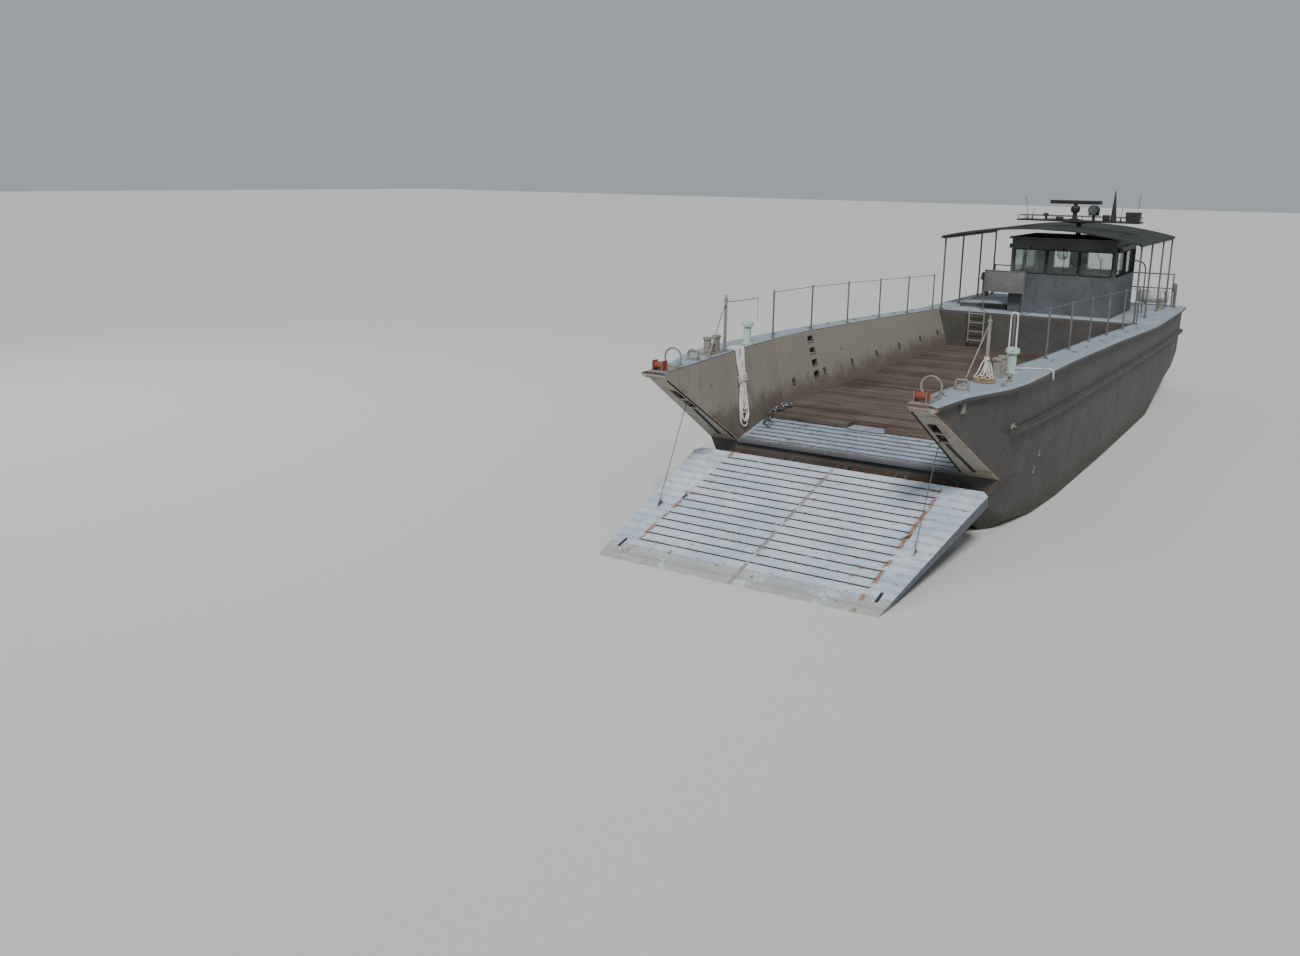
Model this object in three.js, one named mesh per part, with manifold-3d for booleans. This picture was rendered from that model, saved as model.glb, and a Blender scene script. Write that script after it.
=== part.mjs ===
// A flat-bottomed mechanised landing craft with its bow ramp lowered, about 22.4 m over all.
// Millimetres. +X is port, +Y is aft, +Z is up. The origin is on the flat bottom, amidships.
import * as THREE from "three";
import { mergeVertices } from "three/addons/utils/BufferGeometryUtils.js";
import Module from "manifold-3d";

const wasm = await Module();
wasm.setup();

// Driving dimensions of the hull
const GAP = 0.3; // between pieces that touch
const SILL_Y = -7800; // front edge of the cargo deck
const TIP_Y = -10640; // front of the bow horns
const BULKHEAD_Y = 5200; // aft end of the cargo well
const TRANSOM_Y = 10900; // hull's aft face, before its rubbing rail
const DECK_Z = 1550; // top of the sill
const SPLIT_Z = 1500; // top of the double bottom, under the deck plating
const FLOOR_Z = 1765; // top of the raised cargo floor, under the planks
const PLANK = 100; // thickness of the planks
const FLOOR_X = 2246; // half width of the raised cargo floor
const HORN_Z = 3250; // top of the bow horns
const SIDE_Z = 2880; // top of the side decks amidships and of the stern deck
const WELL_X = 2210; // half width of the well at its foot
const COAMING_X = 2650; // half width of the well at its top edge
const HORN_INNER_X = 2160; // inner half width at the horn tips
const HORN_OUTER_X = 2530; // outer half width at the horn tips
const FOOT_OUTER_X = 2830; // outer half width at the foot of the horns
const NOSE = 70; // blunt depth of the horn tips
const HORN_SLOPE = Math.atan2(HORN_Z - NOSE - DECK_Z, SILL_Y - TIP_Y); // slope of the horn faces
const FOOT_Y = SILL_Y + (DECK_Z - SPLIT_Z) / Math.tan(HORN_SLOPE); // where the horn face meets SPLIT_Z

// Hull sections, from bow to stern. Columns: y, keel height, half width of the flat bottom,
// chine half width, chine height, shell half width at SPLIT_Z, deck edge half width, deck height,
// height of the lower rubbing rail's foot
const HULL = [
  [FOOT_Y, 760, 2330, 2610, 1010, 2840, 3090, HORN_Z, 2310],
  [-6900, 260, 2450, 2790, 640, 2960, 3120, HORN_Z, 2295],
  [-5600, 0, 2600, 2940, 460, 3050, 3120, 3235, 2280],
  [-4000, 0, 2700, 3020, 420, 3090, 3120, 3205, 2260],
  [0, 0, 2750, 3060, 400, 3110, 3120, 3080, 2205],
  [BULKHEAD_Y, 0, 2750, 3060, 400, 3110, 3120, SIDE_Z, 2130],
  [5900, 0, 2740, 3055, 400, 3108, 3118, SIDE_Z, 2125],
  [9000, 820, 2720, 2990, 980, 3070, 3090, SIDE_Z, 2090],
  [TRANSOM_Y, 860, 2600, 2880, 1020, 2980, 3030, SIDE_Z, 2075],
].map(([y, keelZ, flatX, chineX, chineZ, shellX, deckX, deckZ, railZ]) => ({
  y, keelZ, flatX, chineX, chineZ, shellX, deckX, deckZ, railZ,
}));
const WELL_SECTIONS = HULL.slice(0, 6);
const STERN_SECTIONS = HULL.slice(5);

// Steel apron, and the clearance that it and the floor keep from the foot of the walls
const APRON = { edge: SILL_Y + 1250, tongue: SILL_Y + 1600, x0: -460, x1: 300 };
const FIT = 3;

// Horn sections forward of the well. Columns: y, deck edge half width, deck height
const HORN = [
  [TIP_Y, HORN_OUTER_X, HORN_Z],
  [-9500, 2650, HORN_Z],
  [-8420, 2990, HORN_Z],
].map(([y, deckX, deckZ]) => ({ y, deckX, deckZ }));

// Rubbing rails
const RAIL_DEPTH = 95;
const RAIL_HEIGHT = 120;
const RAIL_BEVEL = 30;
const LOWER_RAIL_CLEAR = 6; // its top edge stands off the slanting shell

// Ramp, measured along it from its pivot
const PIVOT_Y = SILL_Y - 20;
const PIVOT_Z = DECK_Z - 330;
const RAMP_REST = THREE.MathUtils.degToRad(14.5); // below the horizontal
const RAMP_NEAR = 324;
const RAMP_FAR = 4424;
const RAMP_TOP = 255; // its upper face, above the pivot
const RAMP_UNDER = 60; // its lower face, above the pivot
const RAMP_NEAR_X = 2860;
const RAMP_FAR_X = 2460;
const RAMP_KNEE = 1300; // where the underside starts to rise to the free edge
const RAMP_TIP = 50; // thickness at the free edge
const CLEAT = { count: 14, first: 520, pitch: 245, x: 2060, width: 40, height: 20, seam: 30 };
const EYE = { x: 2355, along: 2600, height: 105, thick: 24 };
const HINGE_X = [-2250, -1125, 0, 1125, 2250];
const PIN_R = 32;
const BORE_R = 32.8;
const ARM_HALF = 60;
const LUG = { gap: 6, thick: 50, plate: 25, z0: 1090, z1: 1350 };

// Deck fittings, each with its place on the port side
const SHEAVE = { x: EYE.x, along: 1900, depth: 130, r: 110, half: 80 };
const BITTS = { x: 2600, portY: -7330, starboardY: -8220, span: 340, r: 70, height: 320 };
const POLE = { x: 2522, y: -7850, r: 30, height: 1010, foot: 60, stayX: 2400, stayY: -8700 };
const STERN_BITTS = { x: 2600, y: 9550, span: 300, r: 60, height: 280 };
const VENT = { x: 2690, portY: -6890, starboardY: -6600, r: 80, capR: 120, height: 460 };
const STANCHION = { inset: 90, foot: 38, r: 20, height: 1000, last: 4900 };
const PORT_STANCHIONS = { count: 7, first: -6550 };
const STARBOARD_STANCHIONS = { count: 6, first: -5470 };

// Ropes. The post rope's route is [x, y, height of its centre above the deck there]
const HANK = { y0: -7680, y1: -7350, reach: 270, drop: 1560, thick: 78, lean: 24 };
const COIL = { x: 2580, y: -8108, inner: 98, outer: 192, height: 92 };
const FAN = [
  [-8270, 2420, 2760, 92.8, 134],
  [-8100, 2425, 2740, 92.8, 176],
  [-7975, 2460, 2650, 170, 330],
  [-7882, 2492, 2552, 300, 420],
].map(([y, x0, x1, low, high]) => ({ y, x0, x1, low, high }));
const POST_ROPE_R = 15;
const POST_ROPE = [
  [2521, -6800, 15.6], [2524, -6710, 18.5], [2525, -6640, 24], [2526, -6575, 60], [2527, -6550, 140],
  [2527, -6550, 380], [2527, -6550, 700], [2527, -6550, 890], [2532, -6550, 968], [2551, -6550, 1013],
  [2587, -6550, 1025], [2623, -6550, 1013], [2642, -6550, 968], [2647, -6550, 890], [2647, -6550, 700],
  [2647, -6550, 380], [2647, -6550, 140], [2650, -6526, 60], [2660, -6470, 24], [2690, -6400, 19],
  [2750, -6330, 19], [2830, -6280, 19], [2920, -6240, 19], [3010, -6205, 19], [3090, -6175, 19],
  [3155, -6150, 22], [3208, -6130, 12], [3236, -6118, -30], [3238, -6113, -90], [3238, -6110, -170],
].map(([x, y, lift]) => ({ x, y, lift }));

// Underwater gear
const SHAFT_X = 1250;
const SHAFT_Z = 440;
const SHAFT_R = 45;
const PROP_Y = 9560;
const PROP_R = 370;
const RUDDER_Y = 10200;
const STOCK_R = 40;
const SKEG_HALF = 90;
const SHOE_TOP = 60;

// Stern and wheelhouse
const DECK_PLATE = 60;
const ENGINE_ROOM = { x: 2530, y0: 6200, y1: 8650, z: 900 };
const ENGINE = { x: 1200, half: 480, y0: 6500, y1: 8300, top: 1950 };
const HATCH = { x0: -2350, x1: -1100, y0: 6350, y1: 8450, coaming: 90, wall: 40, lid: 45 };
const HOUSE = { x0: -900, x1: 1900, y0: 5900, y1: 8700, top: 4930, wall: 60 };
const WINDOW = { z0: 4000, z1: 4640 };
const DOOR = { x0: -500, x1: 200, z0: 3000, z1: 4760, thick: 45 };
const CANOPY = { x: 2640, y0: 5050, y1: 10350, edgeZ: 4960, ridgeZ: 5280, thick: 40 };
const MAST = { x: 540, y: 7300, r: 60, half: 1650, deckZ: 5400 };
const RADAR = { x: MAST.x - 130, height: 400, reach: 700 };

// Finishes by name. Columns: colour, roughness, metalness
const FINISH = Object.fromEntries(
  Object.entries({
    hull: [0x4a4e52, 0.7, 0.1],
    deckBlue: [0x9fb2c2, 0.7, 0.1],
    timber: [0x6b5646, 0.9, 0],
    steel: [0x5c5a57, 0.6, 0.6],
    bronze: [0x8d7340, 0.4, 0.9],
    vent: [0x9db8a6, 0.6, 0.1],
    canvas: [0x40453c, 0.95, 0],
    glass: [0x9fb0b6, 0.1, 0],
    rope: [0xd8d8d2, 0.95, 0],
    tanRope: [0x8f7d63, 0.95, 0],
    dark: [0x2b2d2f, 0.6, 0.3],
  }).map(([name, [color, roughness, metalness]]) => [
    name,
    new THREE.MeshStandardMaterial({ color, roughness, metalness }),
  ]),
);

// Closed solids, joined and cut
function solidOf(geometry) {
  const bare = geometry.index ? geometry.toNonIndexed() : geometry.clone();
  bare.deleteAttribute("normal");
  bare.deleteAttribute("uv");
  const merged = mergeVertices(bare, 1e-3);
  const vertProperties = merged.attributes.position.array;
  const triVerts = new Uint32Array(merged.index.array);
  return new wasm.Manifold(new wasm.Mesh({ numProp: 3, vertProperties, triVerts }));
}

function geometryOf(manifold) {
  const mesh = manifold.getMesh();
  const geometry = new THREE.BufferGeometry();
  geometry.setAttribute("position", new THREE.BufferAttribute(mesh.vertProperties, 3));
  geometry.setIndex(new THREE.BufferAttribute(mesh.triVerts, 1));
  return geometry;
}

function join(...geometries) {
  return geometryOf(geometries.map(solidOf).reduce((sum, next) => sum.add(next)));
}

function cut(geometry, ...tools) {
  const start = solidOf(geometry);
  return geometryOf(tools.map(solidOf).reduce((left, tool) => left.subtract(tool), start));
}

// Basic shapes, each placed where it stands on the craft
function block([x0, x1], [y0, y1], [z0, z1]) {
  const shape = new THREE.BoxGeometry(x1 - x0, y1 - y0, z1 - z0);
  return shape.translate((x0 + x1) / 2, (y0 + y1) / 2, (z0 + z1) / 2);
}

function rod(from, to, radius, sides = 12) {
  const start = new THREE.Vector3(...from);
  const run = new THREE.Vector3(...to).sub(start);
  const shape = new THREE.CylinderGeometry(radius, radius, run.length(), sides);
  const up = new THREE.Vector3(0, 1, 0);
  const turn = new THREE.Quaternion().setFromUnitVectors(up, run.clone().normalize());
  return shape.applyQuaternion(turn).translate(...start.addScaledVector(run, 0.5).toArray());
}

// A solid of revolution about a vertical axis, from [radius, height] points that start and end on it
function turned(profile, [x, y, z], sides = 20) {
  const points = profile.map(([radius, height]) => new THREE.Vector2(radius, height));
  return new THREE.LatheGeometry(points, sides).rotateX(Math.PI / 2).translate(x, y, z);
}

function pipe(points, radius, steps, sides = 8) {
  const path = new THREE.CatmullRomCurve3(points.map((point) => new THREE.Vector3(...point)));
  const ring = new THREE.EllipseCurve(0, 0, radius, radius).getPoints(sides).slice(0, sides);
  const section = new THREE.Shape(ring);
  return new THREE.ExtrudeGeometry(section, { steps, extrudePath: path, bevelEnabled: false });
}

function extruded(outline, depth) {
  const shape = new THREE.Shape(outline.map(([a, b]) => new THREE.Vector2(a, b)));
  return new THREE.ExtrudeGeometry(shape, { depth, bevelEnabled: false });
}

// An outline of [y, z] points, from x0 to x1
function profileYZ(outline, x0, x1) {
  const turn = new THREE.Matrix4().makeBasis(
    new THREE.Vector3(0, 1, 0), new THREE.Vector3(0, 0, 1), new THREE.Vector3(1, 0, 0),
  );
  return extruded(outline, x1 - x0).applyMatrix4(turn).translate(x0, 0, 0);
}

// An outline of [x, z] points, from y0 to y1
function profileXZ(outline, y0, y1) {
  return extruded(outline, y1 - y0).rotateX(Math.PI / 2).translate(0, y1, 0);
}

// An outline of [x, y] points, from z0 to z1
function profileXY(outline, z0, z1) {
  return extruded(outline, z1 - z0).translate(0, 0, z0);
}

// A closed skin through rings that have the same number of points
function loft(sections) {
  const outline = sections[0].map(([x, , z]) => new THREE.Vector2(x, z));
  const clockwise = THREE.ShapeUtils.isClockWise(outline);
  const rings = clockwise ? sections.map((ring) => [...ring].reverse()) : sections;
  const size = outline.length;
  const cap = THREE.ShapeUtils.triangulateShape(clockwise ? outline.reverse() : outline, []);
  const faces = [];
  for (let i = 0; i < rings.length - 1; i += 1) {
    for (let j = 0; j < size; j += 1) {
      const next = (j + 1) % size;
      const [a, b] = [i * size + j, i * size + next];
      faces.push([a, b, b + size], [a, b + size, a + size]);
    }
  }
  const last = (rings.length - 1) * size;
  cap.forEach(([a, b, c]) => faces.push([c, b, a], [last + a, last + b, last + c]));
  const points = rings.flat().map((point) => new THREE.Vector3(...point));
  const outward = signedVolume(points, faces) > 0;
  const geometry = new THREE.BufferGeometry().setFromPoints(points);
  geometry.setIndex(faces.flatMap(([a, b, c]) => (outward ? [a, b, c] : [c, b, a])));
  return geometry;
}

function signedVolume(points, faces) {
  const cross = new THREE.Vector3();
  return faces.reduce((sum, [a, b, c]) => sum + cross.crossVectors(points[b], points[c]).dot(points[a]), 0);
}

// The same solid on the other side of the centreline
function mirrored(geometry) {
  const bare = geometryOf(solidOf(geometry));
  const index = Array.from(bare.index.array);
  const flipped = bare.clone().scale(-1, 1, 1);
  flipped.setIndex(index.map((_, i) => index[i - (i % 3) + 2 - (i % 3)]));
  return flipped;
}

const craft = new THREE.Group();

function place(name, geometry, finish, parent = craft) {
  const mesh = new THREE.Mesh(geometry, FINISH[finish]);
  mesh.name = name;
  parent.add(mesh);
}

function placePair(name, geometry, finish) {
  place(`${name}_port`, geometry, finish);
  place(`${name}_starboard`, mirrored(geometry), finish);
}

function between(a, b, share) {
  return a + (b - a) * share;
}

// A column of the section table at any place along the craft
function along(table, column, y) {
  const next = Math.max(1, table.findIndex((row) => row.y >= y));
  const [a, b] = [table[next - 1], table[next]];
  return between(a[column], b[column], (y - a.y) / (b.y - a.y));
}

function deckZ(y) {
  return along([...HORN, ...HULL], "deckZ", y);
}

function faceZ(y) {
  return DECK_Z + (SILL_Y - y) * Math.tan(HORN_SLOPE);
}

function innerTopX(y) {
  return between(HORN_INNER_X, COAMING_X, THREE.MathUtils.clamp((y - TIP_Y) / 5940, 0, 1));
}

// Moves a shape made flat on the horn face, with -Y up the slope, to its place on the craft
function ontoHornFace(geometry) {
  return geometry.rotateX(-HORN_SLOPE).translate(0, SILL_Y, DECK_Z);
}

function bothSides(half, y) {
  const port = half.map(([x, z]) => [x, y, z]);
  return [...port, ...port.map(([x, , z]) => [-x, y, z]).reverse()];
}

function bottomRing({ y, keelZ, flatX, chineX, chineZ, shellX }) {
  return bothSides([[flatX, keelZ], [chineX, chineZ], [shellX, SPLIT_Z]], y);
}

// Double bottom with its raked bow, and the raised cargo floor on it
function hullBottom() {
  const half = [[WELL_X - FIT, SPLIT_Z - 5], [WELL_X - FIT, SPLIT_Z + 5], [FLOOR_X, FLOOR_Z]];
  const floor = loft([APRON.edge + GAP, BULKHEAD_Y].map((y) => bothSides(half, y)));
  return join(loft(WELL_SECTIONS.map(bottomRing)), floor);
}

function shellPoint({ shellX, deckX, deckZ: top }, z) {
  return [between(shellX, deckX, (z - SPLIT_Z) / (top - SPLIT_Z)), z];
}

function hornRing({ y, deckX, deckZ: top }) {
  const share = (y - TIP_Y) / (SILL_Y - TIP_Y);
  const low = Math.min(faceZ(y), top - NOSE);
  const outer = between(HORN_OUTER_X, FOOT_OUTER_X, share);
  return [
    [between(HORN_INNER_X, WELL_X, share), y, low],
    [innerTopX(y), y, top],
    [deckX, y, top],
    [between(outer, deckX, 0.4), y, between(low, top, 0.4)],
    [outer, y, low],
  ];
}

function sideRing(station) {
  const { y, shellX, deckX, deckZ: top } = station;
  const low = SPLIT_Z + GAP;
  const [railX, railZ] = shellPoint(station, station.railZ);
  return [[WELL_X, y, low], [innerTopX(y), y, top], [deckX, y, top], [railX, y, railZ], [shellX, y, low]];
}

// Side tank with its bow horn: well wall, side deck and the shell above the cargo deck
function sideTank() {
  const eyeRecess = block([EYE.x - 80, EYE.x + 80], [-2590, -2150], [-200, 130]);
  const { x, half } = SHEAVE;
  const sheavePocket = block([x - half, x + half], [-SHEAVE.along - 190, -SHEAVE.along + 190], [-200, 280]);
  const [stepY, treadZ] = [SILL_Y + 3950, 2195];
  const steps = [0, 1, 2, 3].map((i) => treadZ + 255 * i).map((z) => (
    block([WELL_X - 100, WELL_X + 80 + 0.26 * (z + 110 - SPLIT_Z)], [stepY, stepY + 240], [z, z + 110])
  ));
  const skin = loft([...HORN.map(hornRing), ...WELL_SECTIONS.map(sideRing)]);
  return cut(skin, ontoHornFace(eyeRecess), ontoHornFace(sheavePocket), ...steps);
}

function railRing(y, lowX, topX, topZ) {
  const outerX = topX + RAIL_DEPTH;
  return [
    [lowX, y, topZ - RAIL_HEIGHT],
    [outerX, y, topZ - RAIL_HEIGHT + RAIL_BEVEL],
    [outerX, y, topZ - RAIL_BEVEL],
    [topX, y, topZ],
  ];
}

function deckRail() {
  const edge = [...HORN, ...HULL];
  return loft(edge.map(({ y, deckX, deckZ: top }) => railRing(y, deckX + GAP, deckX + GAP, top)));
}

function lowerRail() {
  return loft(HULL.map((station) => {
    const lowZ = station.railZ;
    const [lowX] = shellPoint(station, lowZ);
    const [topX] = shellPoint(station, lowZ + RAIL_HEIGHT);
    return railRing(station.y, lowX + 2 * GAP, topX + LOWER_RAIL_CLEAR, lowZ + RAIL_HEIGHT);
  }));
}

function transomRail() {
  const x = HULL.at(-1).deckX - 40;
  const outline = [
    [TRANSOM_Y + GAP, SIDE_Z - RAIL_HEIGHT],
    [TRANSOM_Y + RAIL_DEPTH, SIDE_Z - RAIL_HEIGHT + RAIL_BEVEL],
    [TRANSOM_Y + RAIL_DEPTH, SIDE_Z - RAIL_BEVEL],
    [TRANSOM_Y + GAP, SIDE_Z],
  ];
  return profileYZ(outline, -x, x);
}

// Sloping steel apron behind the sill, with the tongue that laps into the planks
function apron() {
  const { edge, tongue, x0, x1 } = APRON;
  const ring = (y, x, z) => bothSides([[WELL_X - FIT, SPLIT_Z + GAP], [x, z]], y);
  const plate = loft([ring(SILL_Y, WELL_X - FIT, DECK_Z), ring(edge, FLOOR_X - 5 * FIT, FLOOR_Z)]);
  const rise = (y) => between(DECK_Z, FLOOR_Z, (y - SILL_Y) / (edge - SILL_Y));
  const bars = [0, 1, 2, 3, 4, 5].map((i) => SILL_Y + 170 + 185 * i).map((y) => profileYZ([
    [y, rise(y) - 5], [y + 40, rise(y + 40) - 5], [y + 40, rise(y + 40) + 18], [y, rise(y) + 18],
  ], -WELL_X + 93, WELL_X - 93));
  const lap = block([x0, x1], [edge - 60, edge - 1], [FLOOR_Z - 20, FLOOR_Z + 14]);
  const flat = block([x0, x1], [edge - 60, tongue], [FLOOR_Z + GAP, FLOOR_Z + 14]);
  return join(plate, ...bars, lap, flat);
}

function wellTimber() {
  const { edge, tongue, x0, x1 } = APRON;
  const [y0, y1] = [edge + GAP, BULKHEAD_Y - GAP];
  const notchY = tongue + GAP;
  const notch = [[x0 - GAP, y0], [x0 - GAP, notchY], [x1 + GAP, notchY], [x1 + GAP, y0]];
  const x = FLOOR_X;
  const outline = [[-x, y0], ...notch, [x, y0], [x, y1], [-x, y1]];
  return profileXY(outline, FLOOR_Z + GAP, FLOOR_Z + PLANK);
}

// Ramp and its hinge
function ramp() {
  const ring = (reach, x, under) => [
    [-x, -reach, under], [x, -reach, under], [x, -reach, RAMP_TOP], [-x, -reach, RAMP_TOP],
  ];
  const kneeX = between(RAMP_NEAR_X, RAMP_FAR_X, (RAMP_KNEE - RAMP_NEAR) / (RAMP_FAR - RAMP_NEAR));
  const panel = loft([
    ring(RAMP_NEAR, RAMP_NEAR_X - 110, RAMP_UNDER),
    ring(RAMP_NEAR + 140, RAMP_NEAR_X, RAMP_UNDER),
    ring(RAMP_KNEE, kneeX, RAMP_UNDER),
    ring(RAMP_FAR, RAMP_FAR_X, RAMP_TOP - RAMP_TIP),
  ]);
  const solids = [panel];
  for (let i = 0; i < CLEAT.count; i += 1) {
    const y = -(CLEAT.first + CLEAT.pitch * i);
    const rise = [RAMP_TOP - 5, RAMP_TOP + CLEAT.height];
    solids.push(block([CLEAT.seam, CLEAT.x], [y - CLEAT.width, y], rise));
    solids.push(block([-CLEAT.x, -CLEAT.seam], [y - CLEAT.width, y], rise));
  }
  HINGE_X.forEach((x) => {
    const arm = [[62, 0], [10, -62], [-520, RAMP_UNDER + 2], [-520, 120], [-330, 200], [45, 45]];
    solids.push(profileYZ(arm, x - ARM_HALF, x + ARM_HALF));
    solids.push(rod([x - ARM_HALF, 0, 0], [x + ARM_HALF, 0, 0], 64, 24));
  });
  [-EYE.x, EYE.x].forEach((x) => {
    const [y, top] = [-EYE.along, RAMP_TOP + EYE.height];
    const plate = [[y + 110, RAMP_TOP - 5], [y + 35, top], [y - 35, top], [y - 110, RAMP_TOP - 5]];
    solids.push(profileYZ(plate, x - EYE.thick / 2, x + EYE.thick / 2));
  });
  const bores = HINGE_X.map((x) => rod([x - 80, 0, 0], [x + 80, 0, 0], BORE_R, 24));
  const eyeZ = RAMP_TOP + 62;
  const eyeHoles = [-EYE.x, EYE.x].map((x) => (
    rod([x - 30, -EYE.along, eyeZ], [x + 30, -EYE.along, eyeZ], 25)
  ));
  const slots = [-2290, 2290].map((x) => block([x - 28, x + 28], [-4060, -3780], [0, RAMP_TOP + 50]));
  const pockets = [-1, 1].map((side) => profileXY(
    [[side * 2120, -2250], [side * 2120, -2030], [side * 1960, -2250]], RAMP_TOP - 60, RAMP_TOP + 40,
  ));
  return cut(join(...solids), ...bores, ...eyeHoles, ...slots, ...pockets);
}

function hingeLugs() {
  const faceY = FOOT_Y - GAP;
  const plateY = faceY - LUG.plate;
  const reach = HINGE_X.at(-1) + ARM_HALF + LUG.gap + LUG.thick;
  const solids = [block([-reach, reach], [plateY, faceY], [LUG.z0, LUG.z1])];
  const outline = [
    [plateY + 5, LUG.z0 + 10], [plateY + 5, LUG.z1 - 10],
    [PIVOT_Y - 25, PIVOT_Z + 55], [PIVOT_Y - 58, PIVOT_Z + 20],
    [PIVOT_Y - 58, PIVOT_Z - 20], [PIVOT_Y - 25, PIVOT_Z - 55],
  ];
  HINGE_X.forEach((x) => [-1, 1].forEach((side) => {
    const inner = x + side * (ARM_HALF + LUG.gap);
    const outer = inner + side * LUG.thick;
    solids.push(profileYZ(outline, Math.min(inner, outer), Math.max(inner, outer)));
  }));
  const bore = rod([-reach - 5, PIVOT_Y, PIVOT_Z], [reach + 5, PIVOT_Y, PIVOT_Z], BORE_R, 24);
  return cut(join(...solids), bore);
}

function hingePin() {
  const reach = HINGE_X.at(-1) + ARM_HALF + LUG.gap + LUG.thick + 15;
  return rod([-reach, PIVOT_Y, PIVOT_Z], [reach, PIVOT_Y, PIVOT_Z], PIN_R, 24);
}

// Bow fittings on the port horn; the starboard ones are their mirror image
function cableSheave() {
  const { x, along: reach, depth, r, half } = SHEAVE;
  const wheel = rod([x - 28, -reach, depth], [x + 28, -reach, depth], r, 24);
  const axle = rod([x - half + GAP, -reach, depth], [x + half - GAP, -reach, depth], 28);
  return ontoHornFace(join(wheel, axle));
}

function fairlead() {
  const z = HORN_Z + GAP;
  const plate = block([2200, 2470], [-10600, -9980], [z, z + 18]);
  const cheeks = [2230, 2420].map((x) => block([x, x + 22], [-10600, -10440], [z + 10, z + 190]));
  const roller = rod([2240, -10520, z + 110], [2430, -10520, z + 110], 62, 16);
  const hoop = new THREE.TorusGeometry(165, 17, 8, 24).rotateX(Math.PI / 2).translate(2330, -10080, z + 187);
  return join(plate, ...cheeks, roller, hoop);
}

function doubleBitts({ x, y, span, r, height }, z) {
  const reach = span / 2 + r + 60;
  const base = block([x - r - 35, x + r + 35], [y - reach, y + reach], [z, z + 20]);
  const posts = [-1, 1].map((side) => turned([
    [0, 0], [r, 0], [r, height - 35], [r + 22, height - 30], [r + 22, height], [0, height],
  ], [x, y + (side * span) / 2, z], 16));
  return join(base, ...posts);
}

function bowPole() {
  const { x, y, r, height, foot: half, stayX, stayY } = POLE;
  const z = HORN_Z + GAP;
  const foot = block([x - half, x + half], [y - half, y + half], [z, z + 16]);
  const shaft = rod([x, y, z + 5], [x, y, z + height], r);
  const eye = new THREE.TorusGeometry(34, 9, 6, 12).rotateY(Math.PI / 2).translate(x, y, z + height + 30);
  const cap = turned([[0, 0], [r + 10, 0], [r + 10, 40], [0, 40]], [x, y, z + height - 30], 12);
  const plate = block([stayX - 45, stayX + 45], [stayY - 55, stayY + 55], [z, z + 16]);
  const stay = rod([stayX, stayY, z + 14], [x, y - 10, z + height - 60], 11, 8);
  return join(foot, shaft, cap, eye, plate, stay);
}

function ventilator(y) {
  const { x, r, capR, height } = VENT;
  return turned([
    [0, 0], [r + 45, 0], [r + 45, 14], [r, 20], [r * 0.92, height * 0.74], [capR, height * 0.76],
    [capR + 4, height * 0.82], [capR, height * 0.93], [capR * 0.6, height * 0.99], [0, height],
  ], [x, y, deckZ(y - r - 45) + GAP], 20);
}

function guardRail({ count, first }) {
  const { inset, foot, r, height, last } = STANCHION;
  const posts = Array.from({ length: count }, (_, i) => {
    const y = between(first, last, i / (count - 1));
    return { x: innerTopX(y) + inset, y, z: deckZ(y) };
  });
  const line = height * 0.96;
  const solids = posts.flatMap(({ x, y, z }, i) => {
    const low = deckZ(y - foot);
    const plate = block([x - foot, x + foot], [y - foot, y + foot], [low + GAP, low + 14]);
    const post = rod([x, y, low + 1], [x, y, z + height], r, 8);
    const before = posts[Math.max(0, i - 1)];
    const wire = rod([before.x, before.y, before.z + line], [x, y, z + line], 7, 6);
    return i === 0 ? [plate, post] : [plate, post, wire];
  });
  return join(...solids);
}

// Rope hank over the edge of the horn, on its deck and down its inner wall
function ropeHank() {
  const { y0, y1, reach, drop, thick } = HANK;
  const edge = new THREE.Vector2(innerTopX(y0) - 1, HORN_Z);
  const down = new THREE.Vector2(WELL_X - HANK.lean, SPLIT_Z).sub(edge).normalize();
  const inward = new THREE.Vector2(down.y, -down.x);
  const at = (run, off) => edge.clone().addScaledVector(down, run).addScaledVector(inward, off).toArray();
  const bend = [0, 0.25, 0.5, 0.75, 1].map((share) => {
    const angle = between(inward.angle(), Math.PI / 2, share);
    return [edge.x + thick * Math.cos(angle), edge.y + thick * Math.sin(angle)];
  });
  const deckEnd = [[edge.x + reach, HORN_Z + thick], [edge.x + reach, HORN_Z + 2 * GAP]];
  const corner = [edge.x - 4 * GAP, HORN_Z + 2 * GAP];
  return profileXZ([at(drop, 4 * GAP), at(drop, thick), ...bend, ...deckEnd, corner], y0, y1);
}

function ropeCoil() {
  const { x, y, inner, outer, height } = COIL;
  const ring = [[inner, 0], [outer, 0], [outer, height], [inner, height], [inner, 0]];
  return turned(ring, [x, y, HORN_Z + GAP], 32);
}

function ropeFan() {
  return loft(FAN.map(({ y, x0, x1, low, high }) => [
    [x0, y, HORN_Z + low], [x1, y, HORN_Z + low], [x1, y, HORN_Z + high], [x0, y, HORN_Z + high],
  ]));
}

function postRope() {
  return pipe(POST_ROPE.map(({ x, y, lift }) => [x, y, deckZ(y) + lift]), POST_ROPE_R, 80);
}

// Stern hull: shell, bottom and transom, with the engine room open at its top
function sternHull() {
  const top = SIDE_Z - DECK_PLATE - GAP;
  const rings = STERN_SECTIONS.map((station, i) => {
    const { y, keelZ, flatX, chineX, chineZ, shellX } = station;
    const half = [
      [flatX, keelZ], [chineX, chineZ], [shellX, SPLIT_Z],
      shellPoint(station, station.railZ), shellPoint(station, top),
    ];
    return bothSides(half, i === 0 ? y + GAP : y);
  });
  const { x, y0, y1, z } = ENGINE_ROOM;
  return cut(loft(rings), block([-x, x], [y0, y1], [z, SIDE_Z]));
}

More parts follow.
